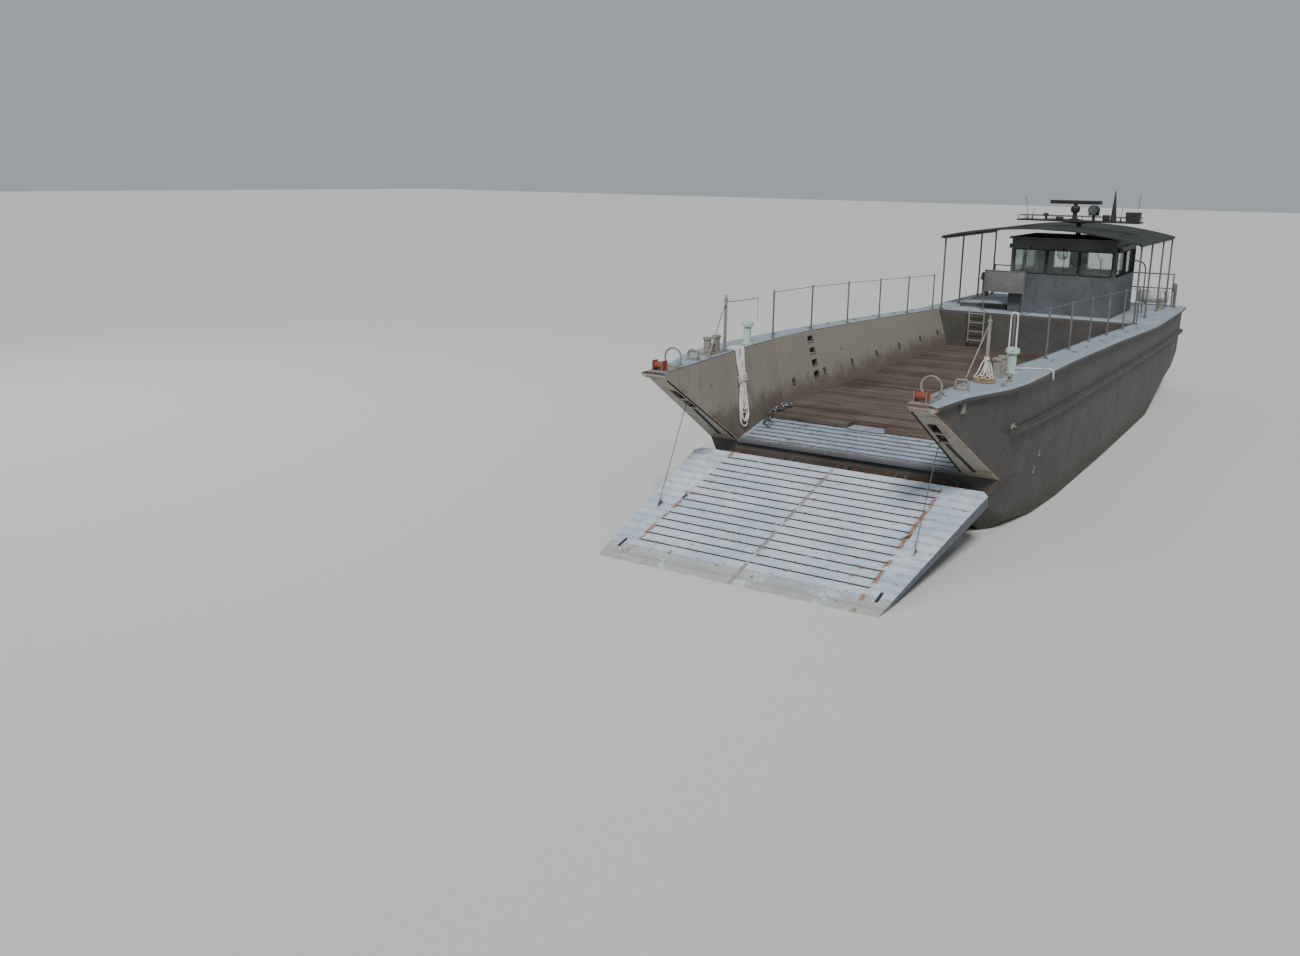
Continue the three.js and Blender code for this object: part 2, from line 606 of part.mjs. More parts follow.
function sternDeck() {
  const half = STERN_SECTIONS.map(({ y, deckX }) => [deckX, y]);
  half[0][1] += GAP;
  const outline = [...half, ...half.map(([x, y]) => [-x, y]).reverse()];
  const plate = profileXY(outline, SIDE_Z - DECK_PLATE, SIDE_Z);
  const { x0, x1, y0, y1, coaming, wall } = HATCH;
  const rim = block([x0 - wall, x1 + wall], [y0 - wall, y1 + wall], [SIDE_Z - 10, SIDE_Z + coaming]);
  return cut(join(plate, rim), block([x0, x1], [y0, y1], [SIDE_Z - 200, SIDE_Z + 200]));
}

function engineHatch() {
  const { x0, x1, y0, y1, coaming, wall, lid } = HATCH;
  const z = SIDE_Z + coaming + GAP;
  const plate = block([x0 - wall - 15, x1 + wall + 15], [y0 - wall - 15, y1 + wall + 15], [z, z + lid]);
  const handles = [y0 + 350, y1 - 350].map((y) => {
    const arch = [[-110, -4], [-100, 60], [100, 60], [110, -4]];
    return pipe(arch.map(([step, rise]) => [x0 + 150, y + step, z + lid + rise]), 10, 10, 6);
  });
  return join(plate, ...handles);
}

function engine() {
  const { x, half, y0, y1, top } = ENGINE;
  return block([x - half, x + half], [y0, y1], [ENGINE_ROOM.z + GAP, top]);
}

// Underside of the stern at any place along the craft
function keelZ(y) {
  return along(HULL, "keelZ", y);
}

function skeg() {
  const [y0, y1] = [6300, 9300];
  const knee = HULL[7].y;
  const fin = profileYZ([
    [y0, 0], [RUDDER_Y + 120, 0], [RUDDER_Y + 120, SHOE_TOP], [y1, SHOE_TOP],
    [y1, keelZ(y1) - GAP], [knee, keelZ(knee) - GAP], [y0, keelZ(y0) - GAP],
  ], SHAFT_X - SKEG_HALF, SHAFT_X + SKEG_HALF);
  const boss = rod([SHAFT_X, y1 - 500, SHAFT_Z], [SHAFT_X, y1 + 110, SHAFT_Z], 120, 16);
  const bore = rod([SHAFT_X, y1 - 200, SHAFT_Z], [SHAFT_X, y1 + 200, SHAFT_Z], SHAFT_R + 0.9, 24);
  return cut(join(fin, boss), bore);
}

function propeller() {
  const hub = rod([0, -95, 0], [0, 110, 0], 85, 16);
  const shaft = rod([0, PROP_R * -1, 0], [0, -60, 0], SHAFT_R, 24);
  const blades = [0, 1, 2, 3].map((i) => {
    const leading = [[60, -70], [170, -150], [300, -150], [PROP_R - 8, -70]];
    const trailing = [[PROP_R, 20], [320, 120], [180, 120], [60, 60]];
    const blade = extruded([...leading, ...trailing], 22).translate(0, 0, -11);
    return blade.rotateX(THREE.MathUtils.degToRad(35)).rotateY((i * Math.PI) / 2);
  });
  return join(hub, shaft, ...blades);
}

function rudder() {
  const top = keelZ(RUDDER_Y - STOCK_R) - GAP;
  const stock = rod([SHAFT_X, RUDDER_Y, 760], [SHAFT_X, RUDDER_Y, top], STOCK_R, 16);
  const pintle = rod([SHAFT_X, RUDDER_Y, SHOE_TOP + 0.6], [SHAFT_X, RUDDER_Y, 140], 34, 16);
  const blade = profileXY([
    [SHAFT_X - 20, RUDDER_Y - 190], [SHAFT_X + 20, RUDDER_Y - 190], [SHAFT_X + 36, RUDDER_Y - 40],
    [SHAFT_X + 8, RUDDER_Y + 560], [SHAFT_X - 8, RUDDER_Y + 560], [SHAFT_X - 36, RUDDER_Y - 40],
  ], 110, 790);
  return join(stock, pintle, blade);
}

// Wheelhouse
function houseWalls() {
  const { x0, x1, y0, y1, top, wall } = HOUSE;
  const z0 = SIDE_Z + GAP;
  const shell = block([x0, x1], [y0, y1], [z0, top]);
  const inside = block([x0 + wall, x1 - wall], [y0 + wall, y1 - wall], [z0 - 50, top + 50]);
  const height = [WINDOW.z0, WINDOW.z1];
  const third = (x1 - x0 - 280) / 3;
  const front = [0, 1, 2].map((i) => {
    const left = x0 + 100 + i * (third + 40);
    return block([left, left + third], [y0 - 50, y0 + wall + 50], height);
  });
  const bays = [[y0 + 180, y0 + 1250], [y0 + 1400, y1 - 180]];
  const sides = bays.map((bay) => block([x0 - 50, x1 + 50], bay, height));
  const doorway = block([DOOR.x0, DOOR.x1], [y1 - wall - 50, y1 + 50], [DOOR.z0, DOOR.z1]);
  const aft = block([600, 1650], [y1 - wall - 50, y1 + 50], height);
  return cut(shell, inside, ...front, ...sides, doorway, aft);
}

function houseRoof() {
  const { x0, x1, y0, y1, top } = HOUSE;
  const over = 70;
  return block([x0 - over, x1 + over], [y0 - over, y1 + over], [top + GAP, top + 55]);
}

function houseDoor() {
  const { x0, x1, z0, z1, thick } = DOOR;
  const y = HOUSE.y1 + GAP;
  const leaf = block([x0 - 30, x1 + 30], [y, y + thick], [z0 - 30, z1 + 30]);
  const pane = block([x0 + 130, x1 - 130], [y - 50, y + thick + 50], [WINDOW.z0, WINDOW.z1]);
  const handle = rod([x0 + 60, y + thick - 5, 3850], [x0 + 60, y + thick + 55, 3850], 12, 8);
  const grip = rod([x0 + 60, y + thick + 50, 3790], [x0 + 60, y + thick + 50, 3910], 12, 8);
  return join(cut(leaf, pane), handle, grip);
}

function windscreen() {
  const { x0, x1, y0, wall } = HOUSE;
  const y = y0 + wall + GAP;
  return block([x0 + wall + 5, x1 - wall - 5], [y, y + 8], [WINDOW.z0 - 30, WINDOW.z1 + 30]);
}

function sidePane(x) {
  const { y0, y1, wall } = HOUSE;
  return block([x, x + 8], [y0 + wall + 30, y1 - wall - 30], [WINDOW.z0 - 30, WINDOW.z1 + 30]);
}

function helm() {
  const z = SIDE_Z + GAP;
  const outline = [[6180, z], [6750, z], [6750, z + 850], [6600, z + 1010], [6180, z + 1010]];
  const body = profileYZ(outline, -300, 1300);
  const column = rod([500, 6700, z + 800], [500, 6850, z + 860], 35, 12);
  const wheel = new THREE.TorusGeometry(230, 16, 8, 24);
  const spokes = [0, 1].map((i) => block([-225, 225], [-14, 14], [-10, 10]).rotateZ((i * Math.PI) / 2));
  const assembled = join(wheel, ...spokes);
  const tilt = Math.atan2(150, 60);
  return join(body, column, assembled.rotateX(-tilt).translate(500, 6850, z + 860));
}

// Canopy and its frame
function canopyLine(lift) {
  const count = 12;
  return Array.from({ length: count + 1 }, (_, i) => {
    const x = between(-CANOPY.x, CANOPY.x, i / count);
    const share = (x / CANOPY.x) ** 2;
    return [x, between(CANOPY.ridgeZ, CANOPY.edgeZ, share) + lift];
  });
}

function canopyBand(low, high, y0, y1) {
  return profileXZ([...canopyLine(low), ...canopyLine(high).reverse()], y0, y1);
}

function canopy() {
  const sheet = canopyBand(0, CANOPY.thick, CANOPY.y0, CANOPY.y1);
  const { x, y, r } = MAST;
  return cut(sheet, block([x - r - 15, x + r + 15], [y - r - 15, y + r + 15], [5000, 6000]));
}

function canopyFrame() {
  const { x, y0, y1, edgeZ } = CANOPY;
  const bows = [y0 + 20, y0 + 1850, y0 + 3680, y1 - 70].map((y) => [y, y + 50]);
  const solids = bows.map(([a, b]) => canopyBand(-50, -0.5, a, b));
  const z0 = SIDE_Z + GAP;
  const postX = x - 30;
  [-postX, postX].forEach((px) => {
    bows.forEach(([a, b]) => {
      const y = Math.max((a + b) / 2, BULKHEAD_Y + 90);
      solids.push(rod([px, y, z0], [px, y, edgeZ - 45], 25, 10));
      solids.push(block([px - 60, px + 60], [y - 60, y + 60], [z0, z0 + 14]));
    });
    solids.push(block([px - 20, px + 20], [y0 + 20, y1 - 20], [edgeZ - 75, edgeZ - 35]));
  });
  return join(...solids);
}

// Mast and what it carries above the canopy
function mast() {
  const { x, y, r, half, deckZ: top } = MAST;
  const column = rod([x, y, HOUSE.top + 55 + GAP], [x, y, top + 10], r, 16);
  const flange = block([x - 130, x + 130], [y - 130, y + 130], [HOUSE.top + 55 + GAP, HOUSE.top + 80]);
  const platform = block([x - half, x + half], [y - 380, y + 380], [top, top + 40]);
  const knees = [-1, 1].map((side) => profileXZ(
    [[x, top - 60], [x + side * 650, top + 2], [x, top + 2]], y - 20, y + 20,
  ));
  return join(column, flange, platform, ...knees);
}

function radarPedestal() {
  const { x, height } = RADAR;
  return turned([
    [0, 0], [150, 0], [150, 25], [70, 55], [60, height / 2], [115, height * 0.58], [130, height * 0.86],
    [95, height - 10], [0, height],
  ], [x, MAST.y, MAST.deckZ + 40 + GAP], 20);
}

function radarScanner() {
  const { x, height, reach } = RADAR;
  const { y } = MAST;
  const z = MAST.deckZ + 40 + height + 1;
  const hub = rod([x, y, z], [x, y, z + 70], 55, 16);
  const section = [[y - 60, z + 45], [y + 60, z + 45], [y + 40, z + 150], [y - 40, z + 150]];
  return join(hub, profileYZ(section, x - reach, x + reach));
}

function searchlight() {
  const { x, y, deckZ: top } = MAST;
  const z = top + 40 + GAP;
  const lampX = x + 380;
  const foot = rod([lampX, y, z], [lampX, y, z + 170], 40, 12);
  const lamp = rod([lampX, y - 150, z + 290], [lampX, y + 130, z + 290], 135, 20);
  return join(foot, lamp, block([lampX - 140, lampX + 140], [y - 30, y + 30], [z + 140, z + 300]));
}

function antennaCone() {
  const { x, y, deckZ: top } = MAST;
  return turned([[0, 0], [90, 0], [80, 60], [14, 820], [0, 830]], [x + 910, y, top + 40 + GAP], 12);
}

function deckLocker() {
  const { x, y, deckZ: top } = MAST;
  const z = top + 40 + GAP;
  const outline = [[x + 1280, z], [x + 1590, z], [x + 1620, z + 260], [x + 1250, z + 260]];
  return profileXZ(outline, y - 200, y + 200);
}

// Ladder on the aft bulkhead of the well
function wellLadder() {
  const [x, y] = [-1500, BULKHEAD_Y - 150];
  const [z0, z1] = [FLOOR_Z + PLANK + 160, SIDE_Z + 80];
  const rails = [x - 210, x + 210].map((side) => rod([side, y, z0], [side, y, z1], 22, 8));
  const steps = [0, 1, 2, 3].map((i) => z0 + 60 + 250 * i);
  const rungs = steps.map((z) => rod([x - 210, y, z], [x + 210, y, z], 14, 8));
  const clips = [x - 210, x + 210].flatMap((side) => [z0 + 20, z1 - 380].map((z) => (
    block([side - 15, side + 15], [y, BULKHEAD_Y - GAP], [z, z + 40])
  )));
  return join(...rails, ...rungs, ...clips);
}

function sternRail() {
  const [z, top] = [SIDE_Z + GAP, SIDE_Z + 950];
  const xs = [-2700, -1350, 0, 1350, 2700];
  const y = TRANSOM_Y - 110;
  const posts = xs.map((x) => rod([x, y, z], [x, y, top], 22, 8));
  const bars = [top - 20, top - 450].map((height) => rod([xs[0], y, height], [xs.at(-1), y, height], 18, 8));
  return join(...posts, ...bars);
}

place("hull_bottom", hullBottom(), "hull");
placePair("hull_side", sideTank(), "hull");
place("hull_stern", sternHull(), "hull");
placePair("deck_rail", deckRail(), "hull");
placePair("lower_rail", lowerRail(), "hull");
place("transom_rail", transomRail(), "hull");
place("bow_apron", apron(), "deckBlue");
place("well_timber_deck", wellTimber(), "timber");
place("well_ladder", wellLadder(), "steel");
place("ramp_hinge_lugs", hingeLugs(), "hull");
place("ramp_hinge_pin", hingePin(), "steel");
placePair("cable_sheave", cableSheave(), "steel");
placePair("bow_fairlead", fairlead(), "steel");
place("bow_bitts_port", doubleBitts({ ...BITTS, y: BITTS.portY }, HORN_Z + GAP), "steel");
place("bow_bitts_starboard", mirrored(doubleBitts({ ...BITTS, y: BITTS.starboardY }, HORN_Z + GAP)), "steel");
placePair("bow_pole", bowPole(), "steel");
place("ventilator_port", ventilator(VENT.portY), "vent");
place("ventilator_starboard", mirrored(ventilator(VENT.starboardY)), "vent");
place("guard_rail_port", guardRail(PORT_STANCHIONS), "steel");
place("guard_rail_starboard", mirrored(guardRail(STARBOARD_STANCHIONS)), "steel");
place("rope_hank_starboard", mirrored(ropeHank()), "rope");
place("rope_coil_port", ropeCoil(), "tanRope");
place("rope_fan_port", ropeFan(), "rope");
place("rope_on_post_port", postRope(), "rope");
place("stern_deck", sternDeck(), "deckBlue");
place("engine_hatch", engineHatch(), "deckBlue");
placePair("engine", engine(), "dark");
placePair("skeg", skeg(), "hull");
placePair("rudder", rudder(), "hull");
placePair("stern_bitts", doubleBitts(STERN_BITTS, SIDE_Z + GAP), "steel");
place("stern_guard_rail", sternRail(), "steel");
place("pilothouse_walls", houseWalls(), "hull");
place("pilothouse_roof", houseRoof(), "hull");
place("pilothouse_door", houseDoor(), "hull");
place("windscreen", windscreen(), "glass");
place("side_window_port", sidePane(HOUSE.x1 - HOUSE.wall - GAP - 8), "glass");
place("side_window_starboard", sidePane(HOUSE.x0 + HOUSE.wall + GAP), "glass");
place("helm_console", helm(), "dark");
place("canopy", canopy(), "canvas");
place("canopy_frame", canopyFrame(), "dark");
place("mast_platform", mast(), "hull");
place("radar_pedestal", radarPedestal(), "dark");
place("radar_scanner", radarScanner(), "dark");
place("searchlight", searchlight(), "dark");
place("antenna_cone", antennaCone(), "dark");
place("mast_locker", deckLocker(), "dark");

const rampGroup = new THREE.Group();
rampGroup.rotation.x = RAMP_REST;
rampGroup.position.set(0, PIVOT_Y, PIVOT_Z);
craft.add(rampGroup);
place("ramp", ramp(), "deckBlue", rampGroup);

[["port", 1], ["starboard", -1]].forEach(([side, sign]) => {
  const wheel = new THREE.Group();
  wheel.position.set(sign * SHAFT_X, PROP_Y, SHAFT_Z);
  craft.add(wheel);
  const shape = sign > 0 ? propeller() : mirrored(propeller());
  place(`propeller_${side}`, shape, "bronze", wheel);
});

export default craft;
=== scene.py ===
"""Looks of a military landing craft with its bow ramp down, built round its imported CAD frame.

Everything is in metres in the craft's own frame: +X to port, +Y aft, +Z up, with the origin on
the flat bottom amidships.
"""

import logging
import math
import random
from collections.abc import Iterable, Sequence
from dataclasses import dataclass
from enum import Enum
from typing import Any

import bmesh
import bpy
import numpy as np
from mathutils import Matrix, Vector
from mathutils.bvhtree import BVHTree

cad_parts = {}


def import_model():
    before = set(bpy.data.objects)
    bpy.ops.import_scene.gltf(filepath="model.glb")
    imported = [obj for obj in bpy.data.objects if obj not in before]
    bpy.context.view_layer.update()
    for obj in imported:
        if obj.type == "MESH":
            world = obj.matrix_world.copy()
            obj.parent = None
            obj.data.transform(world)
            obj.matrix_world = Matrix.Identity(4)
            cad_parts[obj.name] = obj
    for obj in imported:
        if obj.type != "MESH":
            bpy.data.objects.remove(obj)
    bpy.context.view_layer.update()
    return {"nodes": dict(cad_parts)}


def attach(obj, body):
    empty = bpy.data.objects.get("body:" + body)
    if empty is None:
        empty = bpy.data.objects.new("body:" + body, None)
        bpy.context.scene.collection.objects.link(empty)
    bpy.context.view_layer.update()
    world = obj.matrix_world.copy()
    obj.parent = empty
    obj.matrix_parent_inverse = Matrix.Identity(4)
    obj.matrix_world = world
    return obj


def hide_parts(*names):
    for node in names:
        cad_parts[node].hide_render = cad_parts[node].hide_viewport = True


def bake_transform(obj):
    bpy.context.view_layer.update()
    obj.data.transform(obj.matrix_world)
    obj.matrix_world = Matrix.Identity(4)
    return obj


LOG = logging.getLogger("landing_craft")
Point = Sequence[float]
Colour = tuple[float, float, float, float]

GAP = 0.0003  # between a piece and what it rests on
SILL_Y = -7.8  # front edge of the apron
WELL_Z = 1.55  # top of the sill, where the apron starts to rise
HORN_Z = 3.25  # top of the bow horns
WELL_X = 2.21  # half width of the cargo deck
HORN_SLOPE = math.atan2(1.63, 2.84)  # slope of the horns' slanting faces
WATERLINE_Z = 0.36
STERN_DECK_Z = 2.88  # top of the stern deck
DECK_LINE = ((-10.64, HORN_Z), (-6.9, HORN_Z), (-5.6, 3.235), (-4.0, 3.205), (0.0, 3.08),
             (5.2, STERN_DECK_Z), (10.9, STERN_DECK_Z))
PLANKS_Y = -6.55  # front edge of the planks, where the apron ends
PLANKS_Z = 1.865  # top of the planks
RAMP_TILT = math.radians(14.5)  # below the horizontal
RAMP_PIVOT = Vector((0.0, -7.82, 1.22))
RAMP_FACE = 0.255  # its upper face, above the pivot
BAR_FIRST, BAR_PITCH = 0.54, 0.245  # middle of the first ramp bar, and from one bar to the next
APRON_BAR_Y, APRON_PITCH = -7.61, 0.185


def linear(code: str) -> Colour:
    """Turns an sRGB hex colour to linear light.

    Args:
        code: a colour such as "#8d887c".

    Returns:
        Red, green, blue and a full alpha.
    """
    parts = [int(code[i:i + 2], 16) / 255 for i in (1, 3, 5)]
    red, green, blue = (c / 12.92 if c <= 0.04045 else ((c + 0.055) / 1.055) ** 2.4 for c in parts)
    return (red, green, blue, 1.0)


def along(table: Sequence[tuple[float, float]], y: float) -> float:
    """The value of a two-column table at any place along the craft."""
    return float(np.interp(y, *zip(*table)))


def deck_z(y: float) -> float:
    """Height of the side deck."""
    return along(DECK_LINE, y)


def inner_top_x(y: float) -> float:
    """Half width of the well at the side deck's inner edge."""
    return 2.16 + 0.49 * min(1.0, max(0.0, (y + 10.64) / 5.94))


def wall_x(y: float, z: float) -> float:
    """Half width of the well at its sloping wall."""
    return WELL_X + (inner_top_x(y) - WELL_X) * (z - 1.5) / (deck_z(y) - 1.5)


def floor_z(y: float) -> float:
    """Height of what is underfoot in the well: the sloping apron, then the planks."""
    return PLANKS_Z if y > PLANKS_Y else WELL_Z + (y - SILL_Y) * 0.172


def on_horn(x: float, reach: float, lift: float = 0.0) -> Vector:
    """A place on a horn's slanting face, by its distance up from the sill, and how far off it."""
    cos, sin = math.cos(HORN_SLOPE), math.sin(HORN_SLOPE)
    return Vector((x, SILL_Y - reach * cos - lift * sin, WELL_Z + reach * sin - lift * cos))


def smooth_path(points: Iterable[Point], step: float) -> np.ndarray:
    """Draws a smooth line through points, with its own points evenly spaced.

    Args:
        points: the places it passes through.
        step: about how far apart its points are.

    Returns:
        The line's points, one a row.
    """
    known = np.array([list(p) for p in points], float)
    padded = np.vstack([2 * known[0] - known[1], known, 2 * known[-1] - known[-2]])
    dense = []
    for i in range(1, len(padded) - 2):
        before, start, end, after = padded[i - 1:i + 3]
        for share in np.linspace(0, 1, 24, endpoint=False):
            dense.append(0.5 * (2 * start + (end - before) * share
                                + (2 * before - 5 * start + 4 * end - after) * share ** 2
                                + (3 * start - before - 3 * end + after) * share ** 3))
    line = np.array([*dense, padded[-2]])
    run = np.concatenate([[0.0], np.cumsum(np.linalg.norm(np.diff(line, axis=0), axis=1))])
    places = np.linspace(0, run[-1], max(2, round(run[-1] / step) + 1))
    return np.stack([np.interp(places, run, line[:, axis]) for axis in range(3)], axis=1)


def frames_along(line: np.ndarray) -> tuple[np.ndarray, np.ndarray]:
    """Two directions square to a line at each of its points, turning as little as they can.

    Args:
        line: the line's points.

    Returns:
        The two directions, one of each a row.
    """
    tangents = np.gradient(line, axis=0)
    tangents /= np.linalg.norm(tangents, axis=1)[:, None]
    first = np.cross(tangents[0], (0.0, 0.0, 1.0) if abs(tangents[0][2]) < 0.9 else (1.0, 0.0, 0.0))
    sides = [first / np.linalg.norm(first)]
    for tangent in tangents[1:]:
        side = sides[-1] - tangent * np.dot(sides[-1], tangent)
        sides.append(side / np.linalg.norm(side))
    return np.array(sides), np.cross(tangents, np.array(sides))


# Finishes


def add(tree: bpy.types.NodeTree, kind: str, inputs: dict[Any, Any] | None = None, **settings: Any) -> Any:
    """Adds a shader node with its settings, and its inputs as values or as links.

    Args:
        tree: the material's node tree.
        kind: the node's type, without its ShaderNode prefix.
        inputs: what goes into each input, by name or number.
        settings: the node's own settings.

    Returns:
        The new node.
    """
    node = tree.nodes.new("ShaderNode" + kind)
    for name, value in settings.items():
        setattr(node, name, value)
    for name, value in (inputs or {}).items():
        if isinstance(value, bpy.types.NodeSocket):
            tree.links.new(value, node.inputs[name])
        else:
            node.inputs[name].default_value = value
    return node


def compute(tree: bpy.types.NodeTree, operation: str, *values: Any) -> Any:
    """Adds a maths node for an operation on values or links, and gives its result."""
    return add(tree, "Math", dict(enumerate(values)), operation=operation).outputs[0]


def blend_colours(tree: bpy.types.NodeTree, share: Any, first: Any, second: Any) -> Any:
    """Adds a mix of two colours, by the share of the second, and gives its result."""
    return add(tree, "Mix", {0: share, 6: first, 7: second}, data_type="RGBA").outputs[2]


def per_metre(size_mm: float) -> float:
    """A texture's scale, for a pattern of that size in millimetres."""
    return 1000.0 / size_mm


class Reading(Enum):
    """What a zone of a finish goes by at each point of the surface."""

    ABREAST = "distance from the centreline"
    ALONG = "place along the craft"
    HEIGHT = "height"
    UPWARD = "how far the surface faces up"
    INWARD = "how far the surface faces the centreline"
    RAMP_BAR = "distance from the middle of a ramp bar"
    APRON_BAR = "distance from the middle of an apron bar"
    HORN_FACE = "height above the plane of the horns' slanting faces"


@dataclass(frozen=True)
class Zone:
    """A part of a painted surface that has another colour, between two values of a reading."""

    reading: Reading
    low: float
    high: float
    colour: str = "#000000"
    soft: float = 0.05
    strength: float = 1.0
    ragged: float = 0.0
    patch_mm: float = 0.0
    share: float = 0.5
    within: "Zone | None" = None

    def read(self, tree: bpy.types.NodeTree) -> bpy.types.NodeSocket:
        """Adds the nodes that give the zone's reading.

        Args:
            tree: the material's node tree.

        Returns:
            The socket that holds it.
        """
        place = add(tree, "TexCoord")
        at = add(tree, "SeparateXYZ", {0: place.outputs["Object"]}).outputs
        facing = add(tree, "SeparateXYZ", {0: place.outputs["Normal"]}).outputs
        if self.reading is Reading.ABREAST:
            return compute(tree, "ABSOLUTE", at[0])
        if self.reading is Reading.UPWARD:
            return facing[2]
        if self.reading is Reading.INWARD:
            side = compute(tree, "SIGN", at[0])
            outward = compute(tree, "MULTIPLY", facing[0], side)
            return compute(tree, "MULTIPLY", outward, -1.0)
        if self.reading is Reading.APRON_BAR:
            from_bar = compute(tree, "SUBTRACT", at[1], APRON_BAR_Y)
            return compute(tree, "PINGPONG", from_bar, APRON_PITCH / 2)
        if self.reading is Reading.RAMP_BAR:
            start = RAMP_PIVOT.y - RAMP_FACE * math.sin(RAMP_TILT) - BAR_FIRST * math.cos(RAMP_TILT)
            ahead = compute(tree, "SUBTRACT", start, at[1])
            reach = compute(tree, "DIVIDE", ahead, math.cos(RAMP_TILT))
            return compute(tree, "PINGPONG", reach, BAR_PITCH / 2)
        if self.reading is Reading.HORN_FACE:
            rise = add(tree, "Math", {0: at[1], 1: math.tan(HORN_SLOPE), 2: at[2]}, operation="MULTIPLY_ADD")
            level = WELL_Z + SILL_Y * math.tan(HORN_SLOPE)
            return compute(tree, "SUBTRACT", rise.outputs[0], level)
        return at[1 if self.reading is Reading.ALONG else 2]

    def mask(self, tree: bpy.types.NodeTree) -> bpy.types.NodeSocket:
        """Adds the nodes that say how much of the zone's colour shows.

        Args:
            tree: the material's node tree.

        Returns:
            The socket, from 0 to the zone's strength.
        """
        place = add(tree, "TexCoord").outputs["Object"]
        value = self.read(tree)
        if self.ragged:
            wander = add(tree, "TexNoise", {"Vector": place, "Scale": per_metre(320), "Detail": 6.0,
                                            "Roughness": 0.7}).outputs[0]
            shift = compute(tree, "SUBTRACT", wander, 0.5)
            value = compute(tree, "MULTIPLY_ADD", shift, 4 * self.ragged, value)
        enter = add(tree, "MapRange",
                    {0: value, 1: self.low - self.soft, 2: self.low + self.soft, 4: self.strength},
                    interpolation_type="SMOOTHSTEP").outputs[0]
        leave = add(tree, "MapRange",
                    {0: value, 1: self.high - self.soft, 2: self.high + self.soft, 3: 1.0, 4: 0.0},
                    interpolation_type="SMOOTHSTEP").outputs[0]
        covered = compute(tree, "MULTIPLY", enter, leave)
        if self.patch_mm:
            patches = add(tree, "TexNoise",
                          {"Vector": place, "Scale": per_metre(self.patch_mm), "Detail": 8.0,
                           "Roughness": 0.68}).outputs[0]
            kept = add(tree, "MapRange", {0: patches, 1: 0.98 - self.share, 2: 1.05 - self.share},
                       interpolation_type="SMOOTHSTEP").outputs[0]
            covered = compute(tree, "MULTIPLY", covered, kept)
        if self.within:
            covered = compute(tree, "MULTIPLY", covered, self.within.mask(tree))
        return covered


